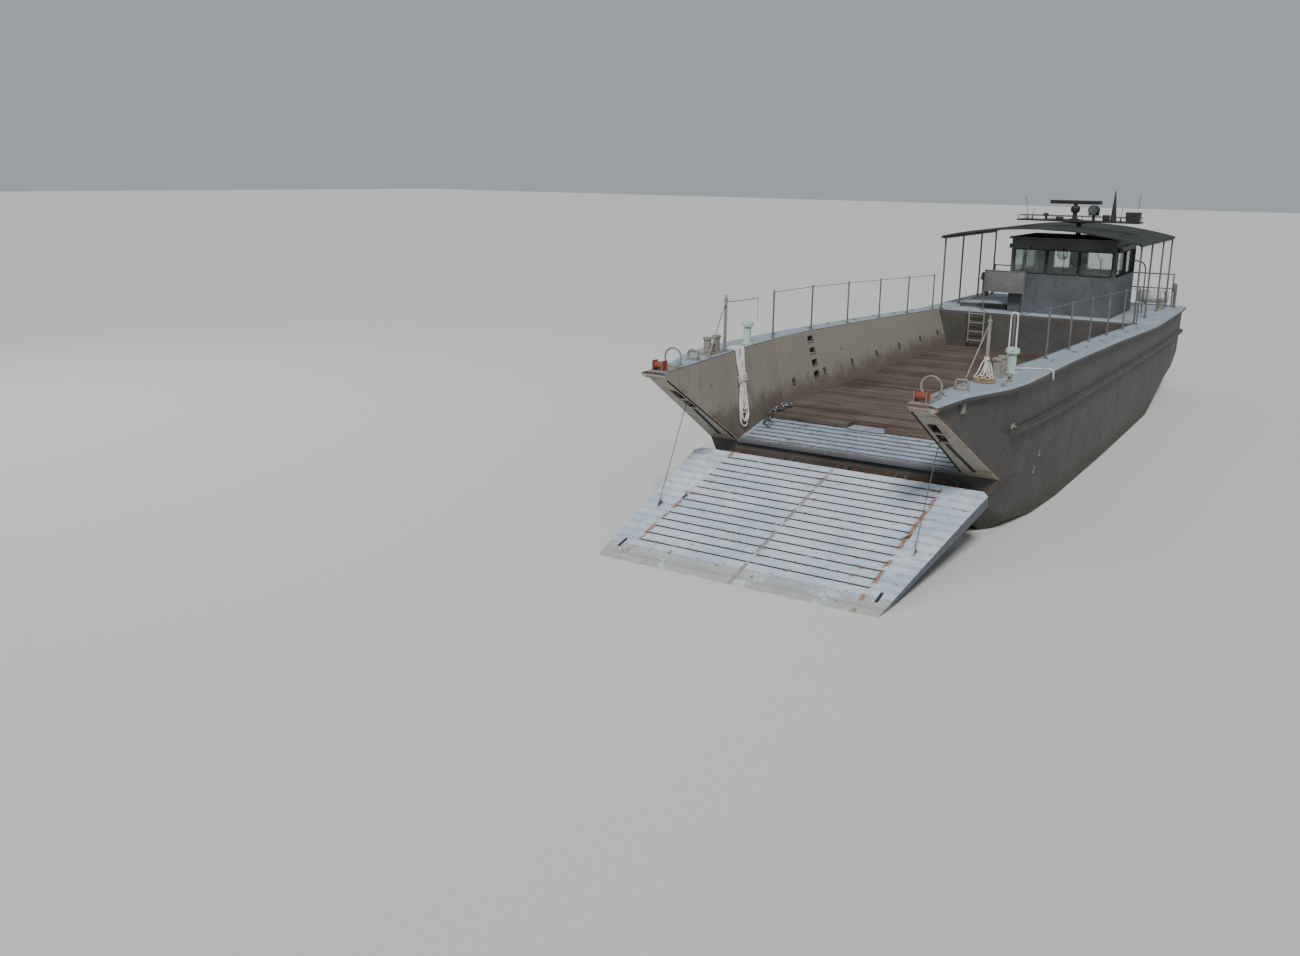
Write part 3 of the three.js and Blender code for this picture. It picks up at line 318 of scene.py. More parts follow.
@dataclass(frozen=True)
class BrushedEnamelOnSteel:
    """Marine alkyd enamel, brushed and rolled over mill plate.

    It chalks to a dull, uneven sheen, dirt lies on it in blotches and in the hollows at the foot of
    raised bars, where a zone also paints shadow, and rust breaks through in patches with a raised,
    dead-matt crust and runs down from them.
    """

    name: str
    paint: str
    chalked: str
    grime: str
    zones: tuple[Zone, ...] = ()
    rust_share: float = 0.38
    rust_mm: float = 260.0
    runs: float = 0.35
    roughness: float = 0.58
    grit_mm: float = 9.0
    grime_share: float = 0.45
    dark_rust: str = "#3f2518"
    bright_rust: str = "#874c27"

    def material(self) -> bpy.types.Material:
        """Builds the enamel with its dirt, zones, rust and relief.

        Returns:
            The material.
        """
        made = bpy.data.materials.new(self.name)
        made.use_nodes = True
        tree = made.node_tree
        surface = tree.nodes["Principled BSDF"]
        place = add(tree, "TexCoord").outputs["Object"]
        colour = self.weathered(tree, place)
        for zone in self.zones:
            colour = blend_colours(tree, zone.mask(tree), colour, linear(zone.colour))
        rust = self.rusted(tree, place)
        grain = add(tree, "TexNoise", {"Vector": place, "Scale": per_metre(45), "Detail": 6.0}).outputs[0]
        tone = add(tree, "MapRange", {0: grain, 1: 0.35, 2: 0.65}).outputs[0]
        oxide = blend_colours(tree, tone, linear(self.dark_rust), linear(self.bright_rust))
        for share in (self.streaked(tree, place), rust):
            colour = blend_colours(tree, share, colour, oxide)
        tree.links.new(colour, surface.inputs["Base Color"])
        dull = compute(tree, "MULTIPLY_ADD", rust, 0.28, self.roughness)
        uneven = compute(tree, "MULTIPLY_ADD", tone, 0.12, dull)
        tree.links.new(uneven, surface.inputs["Roughness"])
        tree.links.new(self.relief(tree, place, rust), surface.inputs["Normal"])
        return made

    def weathered(self, tree: bpy.types.NodeTree, place: bpy.types.NodeSocket) -> bpy.types.NodeSocket:
        """Adds the paint's own colour: chalked in broad patches, with dirt over it.

        Args:
            tree: the material's node tree.
            place: where the surface is.

        Returns:
            The colour's socket.
        """
        broad = add(tree, "TexNoise", {"Vector": place, "Scale": per_metre(900), "Detail": 7.0,
                                       "Roughness": 0.62}).outputs[0]
        chalk = add(tree, "MapRange", {0: broad, 1: 0.36, 2: 0.64}).outputs[0]
        colour = blend_colours(tree, chalk, linear(self.paint), linear(self.chalked))
        fine = add(tree, "TexNoise", {"Vector": place, "Scale": per_metre(110), "Detail": 9.0,
                                      "Roughness": 0.72}).outputs[0]
        dirt = add(tree, "MapRange", {0: fine, 1: 0.48, 2: 0.74, 4: self.grime_share}).outputs[0]
        return blend_colours(tree, dirt, colour, linear(self.grime))

    def rusted(self, tree: bpy.types.NodeTree, place: bpy.types.NodeSocket) -> bpy.types.NodeSocket:
        """Adds the patches where rust has broken through, and gives their mask."""
        patches = add(tree, "TexNoise", {"Vector": place, "Scale": per_metre(self.rust_mm), "Detail": 10.0,
                                         "Roughness": 0.7}).outputs[0]
        return add(tree, "MapRange", {0: patches, 1: 1.0 - self.rust_share, 2: 1.05 - self.rust_share},
                   interpolation_type="SMOOTHSTEP").outputs[0]

    def streaked(self, tree: bpy.types.NodeTree, place: bpy.types.NodeSocket) -> bpy.types.NodeSocket:
        """Adds the thin runs that rain washes down from the rust, and gives their mask.

        Args:
            tree: the material's node tree.
            place: where the surface is.

        Returns:
            The mask's socket.
        """
        drawn_out = add(tree, "VectorMath", {0: place, 1: (1.0, 1.0, 0.07)}, operation="MULTIPLY").outputs[0]
        lines = add(tree, "TexNoise", {"Vector": drawn_out, "Scale": per_metre(95), "Detail": 6.0,
                                       "Roughness": 0.6}).outputs[0]
        return add(tree, "MapRange", {0: lines, 1: 0.56, 2: 0.76, 4: self.runs},
                   interpolation_type="SMOOTHSTEP").outputs[0]

    def relief(self, tree: bpy.types.NodeTree, place: bpy.types.NodeSocket,
               rust: bpy.types.NodeSocket) -> bpy.types.NodeSocket:
        """Adds the fine relief of brush marks or grit, plate that isn't quite flat, and rust crust.

        Args:
            tree: the material's node tree.
            place: where the surface is.
            rust: the mask of the rust.

        Returns:
            The bent normal's socket.
        """
        grit = add(tree, "TexNoise", {"Vector": place, "Scale": per_metre(self.grit_mm),
                                      "Detail": 3.0}).outputs[0]
        plate = add(tree, "TexNoise", {"Vector": place, "Scale": per_metre(700), "Detail": 1.0}).outputs[0]
        crust = compute(tree, "MULTIPLY_ADD", rust, 0.8, grit)
        height = compute(tree, "MULTIPLY_ADD", plate, 9.0, crust)
        return add(tree, "Bump", {"Strength": 0.45, "Distance": 0.0022, "Height": height}).outputs[0]


@dataclass(frozen=True)
class SawnHardwoodPlank:
    """Sawn hardwood decking, left bare in salt and sun.

    It greys unevenly from board to board, its open grain runs across the craft and holds dirt,
    and it has no gloss at all.
    """

    name: str = "sawn_hardwood"
    board: float = 0.2304
    first: float = PLANKS_Y
    dark: str = "#33281f"
    middle: str = "#5d4a3d"
    grey: str = "#84766a"

    def material(self) -> bpy.types.Material:
        """Builds the boards' own tones, grain, stains and relief.

        Returns:
            The material.
        """
        made = bpy.data.materials.new(self.name)
        made.use_nodes = True
        tree = made.node_tree
        surface = tree.nodes["Principled BSDF"]
        place = add(tree, "TexCoord").outputs["Object"]
        y = add(tree, "SeparateXYZ", {0: place}).outputs[1]
        count = compute(tree, "SUBTRACT", y, self.first)
        board = compute(tree, "DIVIDE", count, self.board)
        number = compute(tree, "FLOOR", board)
        tint = add(tree, "TexWhiteNoise", {"W": number}, noise_dimensions="1D").outputs[0]
        # Grain 6 mm wide is drawn 14 mm wide, or the render would lose it, and 40 times as long
        apart = add(tree, "CombineXYZ", {0: tint, 1: 0.0, 2: tint}).outputs[0]
        moved = add(tree, "VectorMath", {0: place, 1: apart}, operation="ADD").outputs[0]
        fibres = add(tree, "VectorMath", {0: moved, 1: (0.025, 1.0, 1.0)}, operation="MULTIPLY").outputs[0]
        grain = add(tree, "TexNoise", {"Vector": fibres, "Scale": per_metre(14), "Detail": 8.0,
                                       "Roughness": 0.65}).outputs[0]
        veins = add(tree, "MapRange", {0: grain, 1: 0.32, 2: 0.68}).outputs[0]
        wet = add(tree, "TexNoise", {"Vector": place, "Scale": per_metre(1300), "Detail": 6.0}).outputs[0]
        worn = blend_colours(tree, tint, linear(self.middle), linear(self.grey))
        wood = blend_colours(tree, veins, linear(self.dark), worn)
        stain = add(tree, "MapRange", {0: wet, 1: 0.45, 2: 0.66, 4: 0.62}).outputs[0]
        colour = blend_colours(tree, stain, wood, linear("#2c2019"))
        tree.links.new(colour, surface.inputs["Base Color"])
        tree.links.new(add(tree, "MapRange", {0: veins, 3: 0.95, 4: 0.78}).outputs[0],
                       surface.inputs["Roughness"])
        bump = add(tree, "Bump", {"Strength": 0.6, "Distance": 0.004, "Height": veins}).outputs[0]
        tree.links.new(bump, surface.inputs["Normal"])
        return made


@dataclass(frozen=True)
class LaidFibreRope:
    """Three-strand laid rope, nylon or manila.

    Its strands catch the light in slanting ridges, loose fibres give it a soft sheen, and salt
    and deck dirt lie on it in blotches.
    """

    name: str
    fibre: str
    soiled: str
    yarn_mm: float = 5.0

    def material(self) -> bpy.types.Material:
        """Builds the fibre's tones, dirt and fuzz.

        Returns:
            The material.
        """
        made = bpy.data.materials.new(self.name)
        made.use_nodes = True
        tree = made.node_tree
        surface = tree.nodes["Principled BSDF"]
        place = add(tree, "TexCoord").outputs["Object"]
        yarn = add(tree, "TexNoise", {"Vector": place, "Scale": per_metre(self.yarn_mm),
                                      "Detail": 4.0}).outputs[0]
        blotch = add(tree, "TexNoise", {"Vector": place, "Scale": per_metre(130), "Detail": 7.0}).outputs[0]
        dirt = add(tree, "MapRange", {0: blotch, 1: 0.42, 2: 0.7, 4: 0.75}).outputs[0]
        dark = add(tree, "MapRange", {0: yarn, 1: 0.35, 2: 0.62, 3: 0.35, 4: 0.0}).outputs[0]
        share = compute(tree, "MAXIMUM", dirt, dark)
        colour = blend_colours(tree, share, linear(self.fibre), linear(self.soiled))
        tree.links.new(colour, surface.inputs["Base Color"])
        tree.links.new(add(tree, "MapRange", {0: yarn, 3: 0.8, 4: 0.95}).outputs[0],
                       surface.inputs["Roughness"])
        bump = add(tree, "Bump", {"Strength": 0.7, "Distance": 0.0012, "Height": yarn}).outputs[0]
        tree.links.new(bump, surface.inputs["Normal"])
        surface.inputs["Sheen Weight"].default_value = 0.25
        surface.inputs["Sheen Roughness"].default_value = 0.5
        return made


@dataclass(frozen=True)
class CoatedCanvas:
    """Heavy cotton duck with a waxed olive coating.

    Close to, its plain weave shows as fine ribs; further off it is a flat dark green, paler in
    dusty patches and darker in water stains scattered over it.
    """

    name: str = "coated_canvas"
    cloth: str = "#23271f"
    dusty: str = "#343930"
    stain: str = "#171a17"
    thread_mm: float = 9.0  # the real thread is 0.9 mm, too fine to show

    def material(self) -> bpy.types.Material:
        """Builds the cloth's weave, dust and stains.

        Returns:
            The material.
        """
        made = bpy.data.materials.new(self.name)
        made.use_nodes = True
        tree = made.node_tree
        surface = tree.nodes["Principled BSDF"]
        place = add(tree, "TexCoord").outputs["Object"]
        at = add(tree, "SeparateXYZ", {0: place}).outputs
        turns = 2 * math.pi * per_metre(self.thread_mm)
        ribs = []
        for axis in (0, 1):
            phase = compute(tree, "MULTIPLY", at[axis], turns)
            ribs.append(compute(tree, "SINE", phase))
        weave = compute(tree, "MAXIMUM", ribs[0], ribs[1])
        cloud = add(tree, "TexNoise", {"Vector": place, "Scale": per_metre(800), "Detail": 8.0,
                                       "Roughness": 0.65}).outputs[0]
        dust = add(tree, "MapRange", {0: cloud, 1: 0.38, 2: 0.68}).outputs[0]
        colour = blend_colours(tree, dust, linear(self.cloth), linear(self.dusty))
        drops = add(tree, "TexNoise", {"Vector": place, "Scale": per_metre(300), "Detail": 9.0}).outputs[0]
        wet = add(tree, "MapRange", {0: drops, 1: 0.52, 2: 0.6, 4: 0.55}).outputs[0]
        colour = blend_colours(tree, wet, colour, linear(self.stain))
        tree.links.new(colour, surface.inputs["Base Color"])
        tree.links.new(add(tree, "MapRange", {0: dust, 3: 0.72, 4: 0.92}).outputs[0],
                       surface.inputs["Roughness"])
        bump = add(tree, "Bump", {"Strength": 0.35, "Distance": 0.0012, "Height": weave}).outputs[0]
        tree.links.new(bump, surface.inputs["Normal"])
        return made


@dataclass(frozen=True)
class BareMetal:
    """Metal with no paint: cast bronze, or steel dipped in zinc.

    It has a metal's own reflections where it is bright, and dull, coloured salts of the metal
    where the sea has been at it.
    """

    name: str
    bright: str
    tarnish: str
    salts: str
    roughness: float = 0.42
    salts_share: float = 0.5
    grain_mm: float = 30.0

    def material(self) -> bpy.types.Material:
        """Builds the metal, its tarnish and its salts.

        Returns:
            The material.
        """
        made = bpy.data.materials.new(self.name)
        made.use_nodes = True
        tree = made.node_tree
        surface = tree.nodes["Principled BSDF"]
        place = add(tree, "TexCoord").outputs["Object"]
        grain = add(tree, "TexNoise",
                    {"Vector": place, "Scale": per_metre(self.grain_mm), "Detail": 7.0}).outputs[0]
        tone = add(tree, "MapRange", {0: grain, 1: 0.36, 2: 0.64}).outputs[0]
        colour = blend_colours(tree, tone, linear(self.bright), linear(self.tarnish))
        patches = add(tree, "TexNoise", {"Vector": place, "Scale": per_metre(90), "Detail": 9.0,
                                         "Roughness": 0.7}).outputs[0]
        dull = add(tree, "MapRange", {0: patches, 1: 1.0 - self.salts_share,
                                      2: 1.1 - self.salts_share}).outputs[0]
        colour = blend_colours(tree, dull, colour, linear(self.salts))
        tree.links.new(colour, surface.inputs["Base Color"])
        tree.links.new(add(tree, "MapRange", {0: dull, 3: 1.0, 4: 0.0}).outputs[0],
                       surface.inputs["Metallic"])
        tree.links.new(add(tree, "MapRange", {0: dull, 3: self.roughness, 4: 0.9}).outputs[0],
                       surface.inputs["Roughness"])
        bump = add(tree, "Bump", {"Strength": 0.4, "Distance": 0.001, "Height": grain}).outputs[0]
        tree.links.new(bump, surface.inputs["Normal"])
        return made


@dataclass(frozen=True)
class MouldedSkin:
    """Moulded rubber, gelcoat or satin enamel: one even colour, with a bloom of dust and salt."""

    name: str
    base: str = "#1b1c1d"
    bloom: str = "#4a4a47"
    roughness: float = 0.5
    bloom_share: float = 0.35

    def material(self) -> bpy.types.Material:
        """Builds the one colour with its bloom.

        Returns:
            The material.
        """
        made = bpy.data.materials.new(self.name)
        made.use_nodes = True
        tree = made.node_tree
        surface = tree.nodes["Principled BSDF"]
        place = add(tree, "TexCoord").outputs["Object"]
        cloud = add(tree, "TexNoise", {"Vector": place, "Scale": per_metre(140), "Detail": 9.0,
                                       "Roughness": 0.68}).outputs[0]
        dust = add(tree, "MapRange", {0: cloud, 1: 0.42, 2: 0.72, 4: self.bloom_share}).outputs[0]
        colour = blend_colours(tree, dust, linear(self.base), linear(self.bloom))
        tree.links.new(colour, surface.inputs["Base Color"])
        rough = compute(tree, "MULTIPLY_ADD", dust, 0.8, self.roughness)
        tree.links.new(rough, surface.inputs["Roughness"])
        pebble = add(tree, "TexNoise", {"Vector": place, "Scale": per_metre(6), "Detail": 2.0}).outputs[0]
        bump = add(tree, "Bump", {"Strength": 0.25, "Distance": 0.0008, "Height": pebble}).outputs[0]
        tree.links.new(bump, surface.inputs["Normal"])
        return made


@dataclass(frozen=True)
class ToughenedGlass:
    """Toughened float glass, faintly green, with dried spray on it that dulls it in spots."""

    name: str = "toughened_glass"
    tint: str = "#cfdcd8"

    def material(self) -> bpy.types.Material:
        """Builds the clear pane and its dried spray.

        Returns:
            The material.
        """
        made = bpy.data.materials.new(self.name)
        made.use_nodes = True
        tree = made.node_tree
        surface = tree.nodes["Principled BSDF"]
        place = add(tree, "TexCoord").outputs["Object"]
        spray = add(tree, "TexNoise", {"Vector": place, "Scale": per_metre(60), "Detail": 9.0,
                                       "Roughness": 0.75}).outputs[0]
        rough = add(tree, "MapRange", {0: spray, 1: 0.5, 2: 0.75, 3: 0.04, 4: 0.4}).outputs[0]
        tree.links.new(rough, surface.inputs["Roughness"])
        colour = add(tree, "MapRange", {0: spray, 1: 0.5, 2: 0.75}).outputs[0]
        mixed = blend_colours(tree, colour, linear(self.tint), linear("#b9bfba"))
        tree.links.new(mixed, surface.inputs["Base Color"])
        surface.inputs["Transmission Weight"].default_value = 0.92
        surface.inputs["IOR"].default_value = 1.5
        return made


class Palette:
    """The craft's finishes, each made once, and which CAD node wears which."""

    def __init__(self) -> None:
        """Makes every finish."""
        up = Reading.UPWARD
        deck = "#8d9aa4"
        faces_in = Zone(Reading.INWARD, 0.5, 2.0, soft=0.1)
        # The outside is drawn near-black and the well walls and horn faces beige, as lit and shaded copies of
        # much the same paint: the outside's darkness is painted shade, and the walls' and faces' warm beige
        # is partly painted sunlight.
        hull_zones = (
            Zone(Reading.HEIGHT, -1.0, 0.62, "#1c1b1b", soft=0.02, ragged=0.02),
            Zone(Reading.HEIGHT, 0.3, 0.72, "#3a3b2c", soft=0.1, strength=0.75, ragged=0.08),
            Zone(Reading.INWARD, 0.5, 2.0, "#8f897c", soft=0.1),
            Zone(Reading.HEIGHT, 1.0, 2.2, "#5b5145", soft=0.22, strength=0.8, ragged=0.2, within=faces_in),
            Zone(Reading.HORN_FACE, -0.4, 0.02, "#958f80", soft=0.01,
                 within=Zone(Reading.ALONG, -12.0, -7.72, soft=0.01)),
            Zone(Reading.HORN_FACE, 0.0, 0.07, "#7a4626", soft=0.03, strength=0.8, ragged=0.02, patch_mm=260,
                 share=0.46, within=Zone(Reading.ALONG, -12.0, -7.6, soft=0.01)),
            Zone(up, 0.8, 2.0, deck, soft=0.05, within=Zone(Reading.HEIGHT, 2.7, 4.0, soft=0.01)),
        )
        # Its near-black base colour is painted shade on the hull's outside.
        self.hull = BrushedEnamelOnSteel("hull_enamel_with_painted_shade", "#3f3d3b", "#4b4946", "#262422", hull_zones,
                                         rust_share=0.37, runs=0.42).material()
        self.deck = BrushedEnamelOnSteel("deck_enamel", "#93a0ab", "#a6b0b6", "#5a5a55",
                                         (Zone(up, -2.0, 0.4, "#4c4e4e", soft=0.05),),
                                         rust_share=0.40, rust_mm=170, runs=0.0, roughness=0.7,
                                         grit_mm=4.0).material()
        ramp_zones = (
            # Faces that don't face up, chiefly the bars' sides, are drawn in a darker blue-grey of the same
            # paint: painted shade.
            Zone(up, -2.0, 0.3, "#596068", soft=0.1),
            # A thin dark line along each bar's foot: partly dirt, partly painted shadow under the bar's edge.
            Zone(Reading.RAMP_BAR, 0.018, 0.027, "#33271f", soft=0.003, strength=0.85, patch_mm=420,
                 share=0.62),
            Zone(Reading.RAMP_BAR, 0.0, 0.06, "#8a5c34", soft=0.015, strength=0.8, patch_mm=150, share=0.41),
            Zone(Reading.ABREAST, 2.03, 2.11, "#8a5a30", soft=0.025, strength=0.85, ragged=0.02, patch_mm=330,
                 share=0.53),
            Zone(Reading.ABREAST, 0.0, 0.035, "#6d5440", soft=0.012, strength=0.75, patch_mm=420, share=0.55),
            Zone(Reading.ALONG, -12.3, -11.75, "#8d8469", soft=0.12, strength=0.55, ragged=0.06, patch_mm=420,
                 share=0.6),
            Zone(up, -2.0, -0.3, "#34322f", soft=0.1),
        )
        self.ramp = BrushedEnamelOnSteel("ramp_enamel", "#a9b8c8", "#c3ced8", "#7b8187", ramp_zones,
                                         rust_share=0.37, rust_mm=210, runs=0.0, roughness=0.62, grit_mm=5.0,
                                         grime_share=0.4, bright_rust="#9a6330").material()
        apron_zones = (
            # A thin dark line along each apron bar's foot: partly dirt, partly painted shadow under the bar's
            # edge.
            Zone(Reading.APRON_BAR, 0.018, 0.027, "#33302c", soft=0.003, strength=0.85, patch_mm=500,
                 share=0.7),
            Zone(Reading.APRON_BAR, 0.0, 0.07, "#7d5230", soft=0.012, strength=0.7, patch_mm=150, share=0.44),
            Zone(Reading.ALONG, -8.2, -7.66, "#4c3a2d", soft=0.05, strength=0.75, ragged=0.05),
            # Faces that don't face up, chiefly the bars' sides, are drawn in a darker blue-grey of the same
            # paint: painted shade.
            Zone(up, -2.0, 0.3, "#50565d", soft=0.1),
        )
        self.apron = BrushedEnamelOnSteel("apron_enamel", "#8595a4", "#9daab5", "#50504d", apron_zones,
                                          rust_share=0.385, rust_mm=150, runs=0.0, roughness=0.66,
                                          grit_mm=5.0).material()
        roller = Zone(Reading.ALONG, -10.6, -10.452, "#7c3a26", soft=0.006,
                      within=Zone(Reading.HEIGHT, 3.275, 3.6, soft=0.01))
        self.steel = BrushedEnamelOnSteel("fitting_enamel", "#77766f", "#8d8a80", "#3f3b35", (roller,),
                                          rust_share=0.43, rust_mm=90, runs=0.3).material()
        self.gear = BrushedEnamelOnSteel("hinge_steel", "#3b3a38", "#4c4842", "#211f1d", rust_share=0.47,
                                         rust_mm=80, runs=0.2).material()
        self.vent = BrushedEnamelOnSteel("pale_green_enamel", "#9fb8ab", "#b3c6ba", "#5c665f",
                                         rust_share=0.38,
                                         rust_mm=80, runs=0.3, roughness=0.38).material()
        self.house = BrushedEnamelOnSteel("house_enamel", "#43464a", "#54575a", "#26272a", rust_share=0.33,
                                          runs=0.25, roughness=0.5).material()
        self.pipe = BrushedEnamelOnSteel("rail_enamel", "#56575a", "#6a6a68", "#2e2d2c", rust_share=0.42,
                                         rust_mm=70, runs=0.2, roughness=0.5).material()
        self.engine = BrushedEnamelOnSteel("engine_enamel", "#4f5a55", "#5f6862", "#1d1c1a", rust_share=0.4,
                                           rust_mm=60, runs=0.1, roughness=0.35, grime_share=0.9).material()
        self.tick = BrushedEnamelOnSteel("white_enamel", "#c9cbc7", "#aeb0ab", "#6b6a66", rust_share=0.4,
                                         rust_mm=60, runs=0.3).material()
        self.timber = SawnHardwoodPlank().material()
        self.white_rope = LaidFibreRope("nylon_rope", "#dcdbd4", "#97948a").material()
        self.tan_rope = LaidFibreRope("manila_rope", "#a8916f", "#5f4f3c").material()
        self.canvas = CoatedCanvas().material()
        self.bronze = BareMetal("cast_bronze", "#a9834a", "#6f5530", "#5c7a66", 0.38, 0.47).material()
        self.zinc = BareMetal("zinc_dipped_steel", "#a3a7a9", "#74777a", "#8a5c39", 0.45, 0.44,
                              20.0).material()
        self.wire = BareMetal("wire_rope_steel", "#6d6c6a", "#4b4a48", "#5d4130", 0.5, 0.5, 12.0).material()
        self.black = MouldedSkin("satin_black").material()
        self.rubber = MouldedSkin("moulded_rubber", "#161616", "#3d3c39", 0.7, 0.5).material()
        self.gelcoat = MouldedSkin("pale_gelcoat", "#b9bcb8", "#85847d", 0.35, 0.5).material()
        self.red_lens = MouldedSkin("red_lens", "#8e1f1a", "#5e2a24", 0.2, 0.3).material()
        self.green_lens = MouldedSkin("green_lens", "#1c6a44", "#2b4b3c", 0.2, 0.3).material()
        self.glass = ToughenedGlass().material()

    def by_node(self) -> dict[str, tuple[str, ...]]:
        """Which CAD nodes wear each finish, by the start of their names.

        Returns:
            The beginnings of the nodes' names for each finish, the first that fits counting.
        """
        return {
            "gear": ("ramp_hinge", "cable_sheave", "rudder"),
            "ramp": ("ramp",),
            "apron": ("bow_apron",),
            "deck": ("stern_deck", "engine_hatch"),
            "hull": ("hull_", "deck_rail", "lower_rail", "transom_rail", "skeg"),
            "timber": ("well_timber",),
            "vent": ("ventilator",),
            "engine": ("engine_",),
            "bronze": ("propeller",),
            "glass": ("windscreen", "side_window"),
            "house": ("pilothouse", "helm"),
            "canvas": ("canopy_cloth",),
            "pipe": ("canopy_frame", "stern_guard", "guard_rail"),
            "black": ("mast_", "radar", "searchlight", "antenna"),
            "canvas_": ("canopy",),
            "white_rope": ("rope_hank", "rope_fan", "rope_on"),
            "tan_rope": ("rope_coil",),
            "steel": ("",),
        }

    def dress(self, nodes: dict[str, bpy.types.Object]) -> int:
        """Gives every CAD node its finish.

        Args:
            nodes: the CAD nodes by name.

        Returns:
            How many were dressed.
        """
        rows = self.by_node()
        for name, node in nodes.items():
            finish = next(key for key, starts in rows.items() if name.startswith(starts))
            material = getattr(self, finish.rstrip("_"))
            if not node.material_slots:
                node.data.materials.append(material)
            for held in node.material_slots:
                held.material = material
        return len(nodes)


# Shapes


class Shape:
    """A mesh in the making, in metres in the craft's frame."""

    def __init__(self) -> None:
        """Starts with nothing in it."""
        self.bm = bmesh.new()

    def loft(self, rings: Sequence[Sequence[Point]], wrap: bool = False) -> "Shape":
        """Joins rings of equally many points into a tube, closed at its ends.

        Args:
            rings: the rings in order.
            wrap: whether the last ring joins the first.

        Returns:
            The shape itself.
        """
        rows = [[self.bm.verts.new(p) for p in ring] for ring in rings]
        pairs = list(zip(rows, rows[1:])) + ([(rows[-1], rows[0])] if wrap else [])
        for near, far in pairs:
            for i, corner in enumerate(near):
                j = (i + 1) % len(near)
                self.bm.faces.new((corner, near[j], far[j], far[i]))
        if not wrap:
            self.bm.faces.new(rows[0][::-1])
            self.bm.faces.new(rows[-1])
        return self

    def prism(self, outline: Sequence[Point], depth: Point, bevel: float = 0.0) -> "Shape":
        """Draws an outline along a straight line, with its edges rounded.

        Args:
            outline: the corners of one end.
            depth: how far and which way it goes.
            bevel: how far in from an edge its rounding starts.

        Returns:
            The shape itself.
        """
        before = set(self.bm.edges)
        near = [Vector(p) for p in outline]
        self.loft([near, [p + Vector(depth) for p in near]])
        if bevel:
            edges = [e for e in self.bm.edges if e not in before]
            bmesh.ops.bevel(self.bm, geom=edges, offset=bevel, segments=2, profile=0.6, affect="EDGES")
        return self

    def block(self, low: Point, high: Point, bevel: float = 0.0) -> "Shape":
        """A rounded block between two corners."""
        (x0, y0, z0), (x1, y1, z1) = low, high
        return self.prism([(x0, y0, z0), (x1, y0, z0), (x1, y1, z0), (x0, y1, z0)], (0, 0, z1 - z0), bevel)

    def tube(self, line: Sequence[Point], radius: float, sides: int = 8, wrap: bool = False) -> "Shape":
        """A round bar along a line.

        Args:
            line: the points it follows.
            radius: its radius.
            sides: how many sides it has.
            wrap: whether it closes on itself.

        Returns:
            The shape itself.
        """
        points = np.array([list(p) for p in line], float)
        across, up = frames_along(points)
        angles = [2 * math.pi * i / sides for i in range(sides)]
        rings = [[p + radius * (math.cos(a) * s + math.sin(a) * u) for a in angles]
                 for p, s, u in zip(points, across, up)]
        return self.loft(rings, wrap)

    def ring(self, centre: Point, across: Point, up: Point, radius: float, bar: float, steps: int = 24,
             sides: int = 8) -> "Shape":
        """A round bar bent to a circle.

        Args:
            centre: the circle's middle.
            across: one direction in its plane.
            up: the other direction, square to the first.
            radius: the circle's radius.
            bar: the bar's radius.
            steps: how many points the circle has.
            sides: how many sides the bar has.

        Returns:
            The shape itself.
        """
        middle, first, second = Vector(centre), Vector(across).normalized(), Vector(up).normalized()
        normal = first.cross(second)
        rings = []
        for i in range(steps):
            angle = 2 * math.pi * i / steps
            out = first * math.cos(angle) + second * math.sin(angle)
            rings.append([middle + out * (radius + bar * math.cos(turn)) + normal * bar * math.sin(turn)
                          for turn in (2 * math.pi * j / sides for j in range(sides))])
        return self.loft(rings, wrap=True)

    def turned(self, profile: Sequence[tuple[float, float]], origin: Point, axis: Point = (0, 0, 1),
               sides: int = 24) -> "Shape":
        """A shape turned on a lathe.

        Args:
            profile: radius and distance along the axis, row by row.
            origin: where the axis starts.
            axis: which way it points.
            sides: how many sides it has.

        Returns:
            The shape itself.
        """
        turn = Vector((0, 0, 1)).rotation_difference(Vector(axis)).to_matrix()
        angles = [2 * math.pi * i / sides for i in range(sides)]
        rings = [[Vector(origin) + turn @ Vector((max(r, 1e-4) * math.cos(a), max(r, 1e-4) * math.sin(a),
                                                  rise))
                  for a in angles] for r, rise in profile]
        return self.loft(rings)

    def bolts(self, places: Iterable[Point], axis: Point, radius: float = 0.012,
              height: float = 0.008) -> "Shape":
        """Rounded six-sided bolt heads.

        Args:
            places: where each stands.
            axis: which way they point.
            radius: half their width.
            height: how far they stand out.

        Returns:
            The shape itself.
        """
        for place in places:
            self.turned([(radius, 0.0), (radius, height * 0.7), (radius * 0.72, height)], place, axis, 6)
        return self

    def mirrored(self) -> "Shape":
        """Adds the same shape on the other side of the craft."""
        made = bmesh.ops.duplicate(self.bm, geom=self.bm.verts[:] + self.bm.edges[:] + self.bm.faces[:])
        for part in made["geom"]:
            if isinstance(part, bmesh.types.BMVert):
                part.co.x = -part.co.x
        return self

    def made(self, name: str, finish: bpy.types.Material, slot: str, body: str | None = "hull",
             sharp: float = 38.0) -> bpy.types.Object:
        """Turns the shape into a piece that rides on a body.

        Args:
            name: the piece's name.
            finish: its material.
            slot: not used.
            sharp: edges that turn by more degrees than this stay sharp.

        Returns:
            The piece.
        """
        bmesh.ops.recalc_face_normals(self.bm, faces=self.bm.faces)
        mesh = bpy.data.meshes.new(name)
        self.bm.to_mesh(mesh)
        self.bm.free()
        mesh.polygons.foreach_set("use_smooth", [True] * len(mesh.polygons))
        mesh.set_sharp_from_angle(angle=math.radians(sharp))
        mesh.materials.append(finish)
        piece = bpy.data.objects.new(name, mesh)
        bpy.context.scene.collection.objects.link(piece)
        if body:
            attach(piece, body)
        return piece


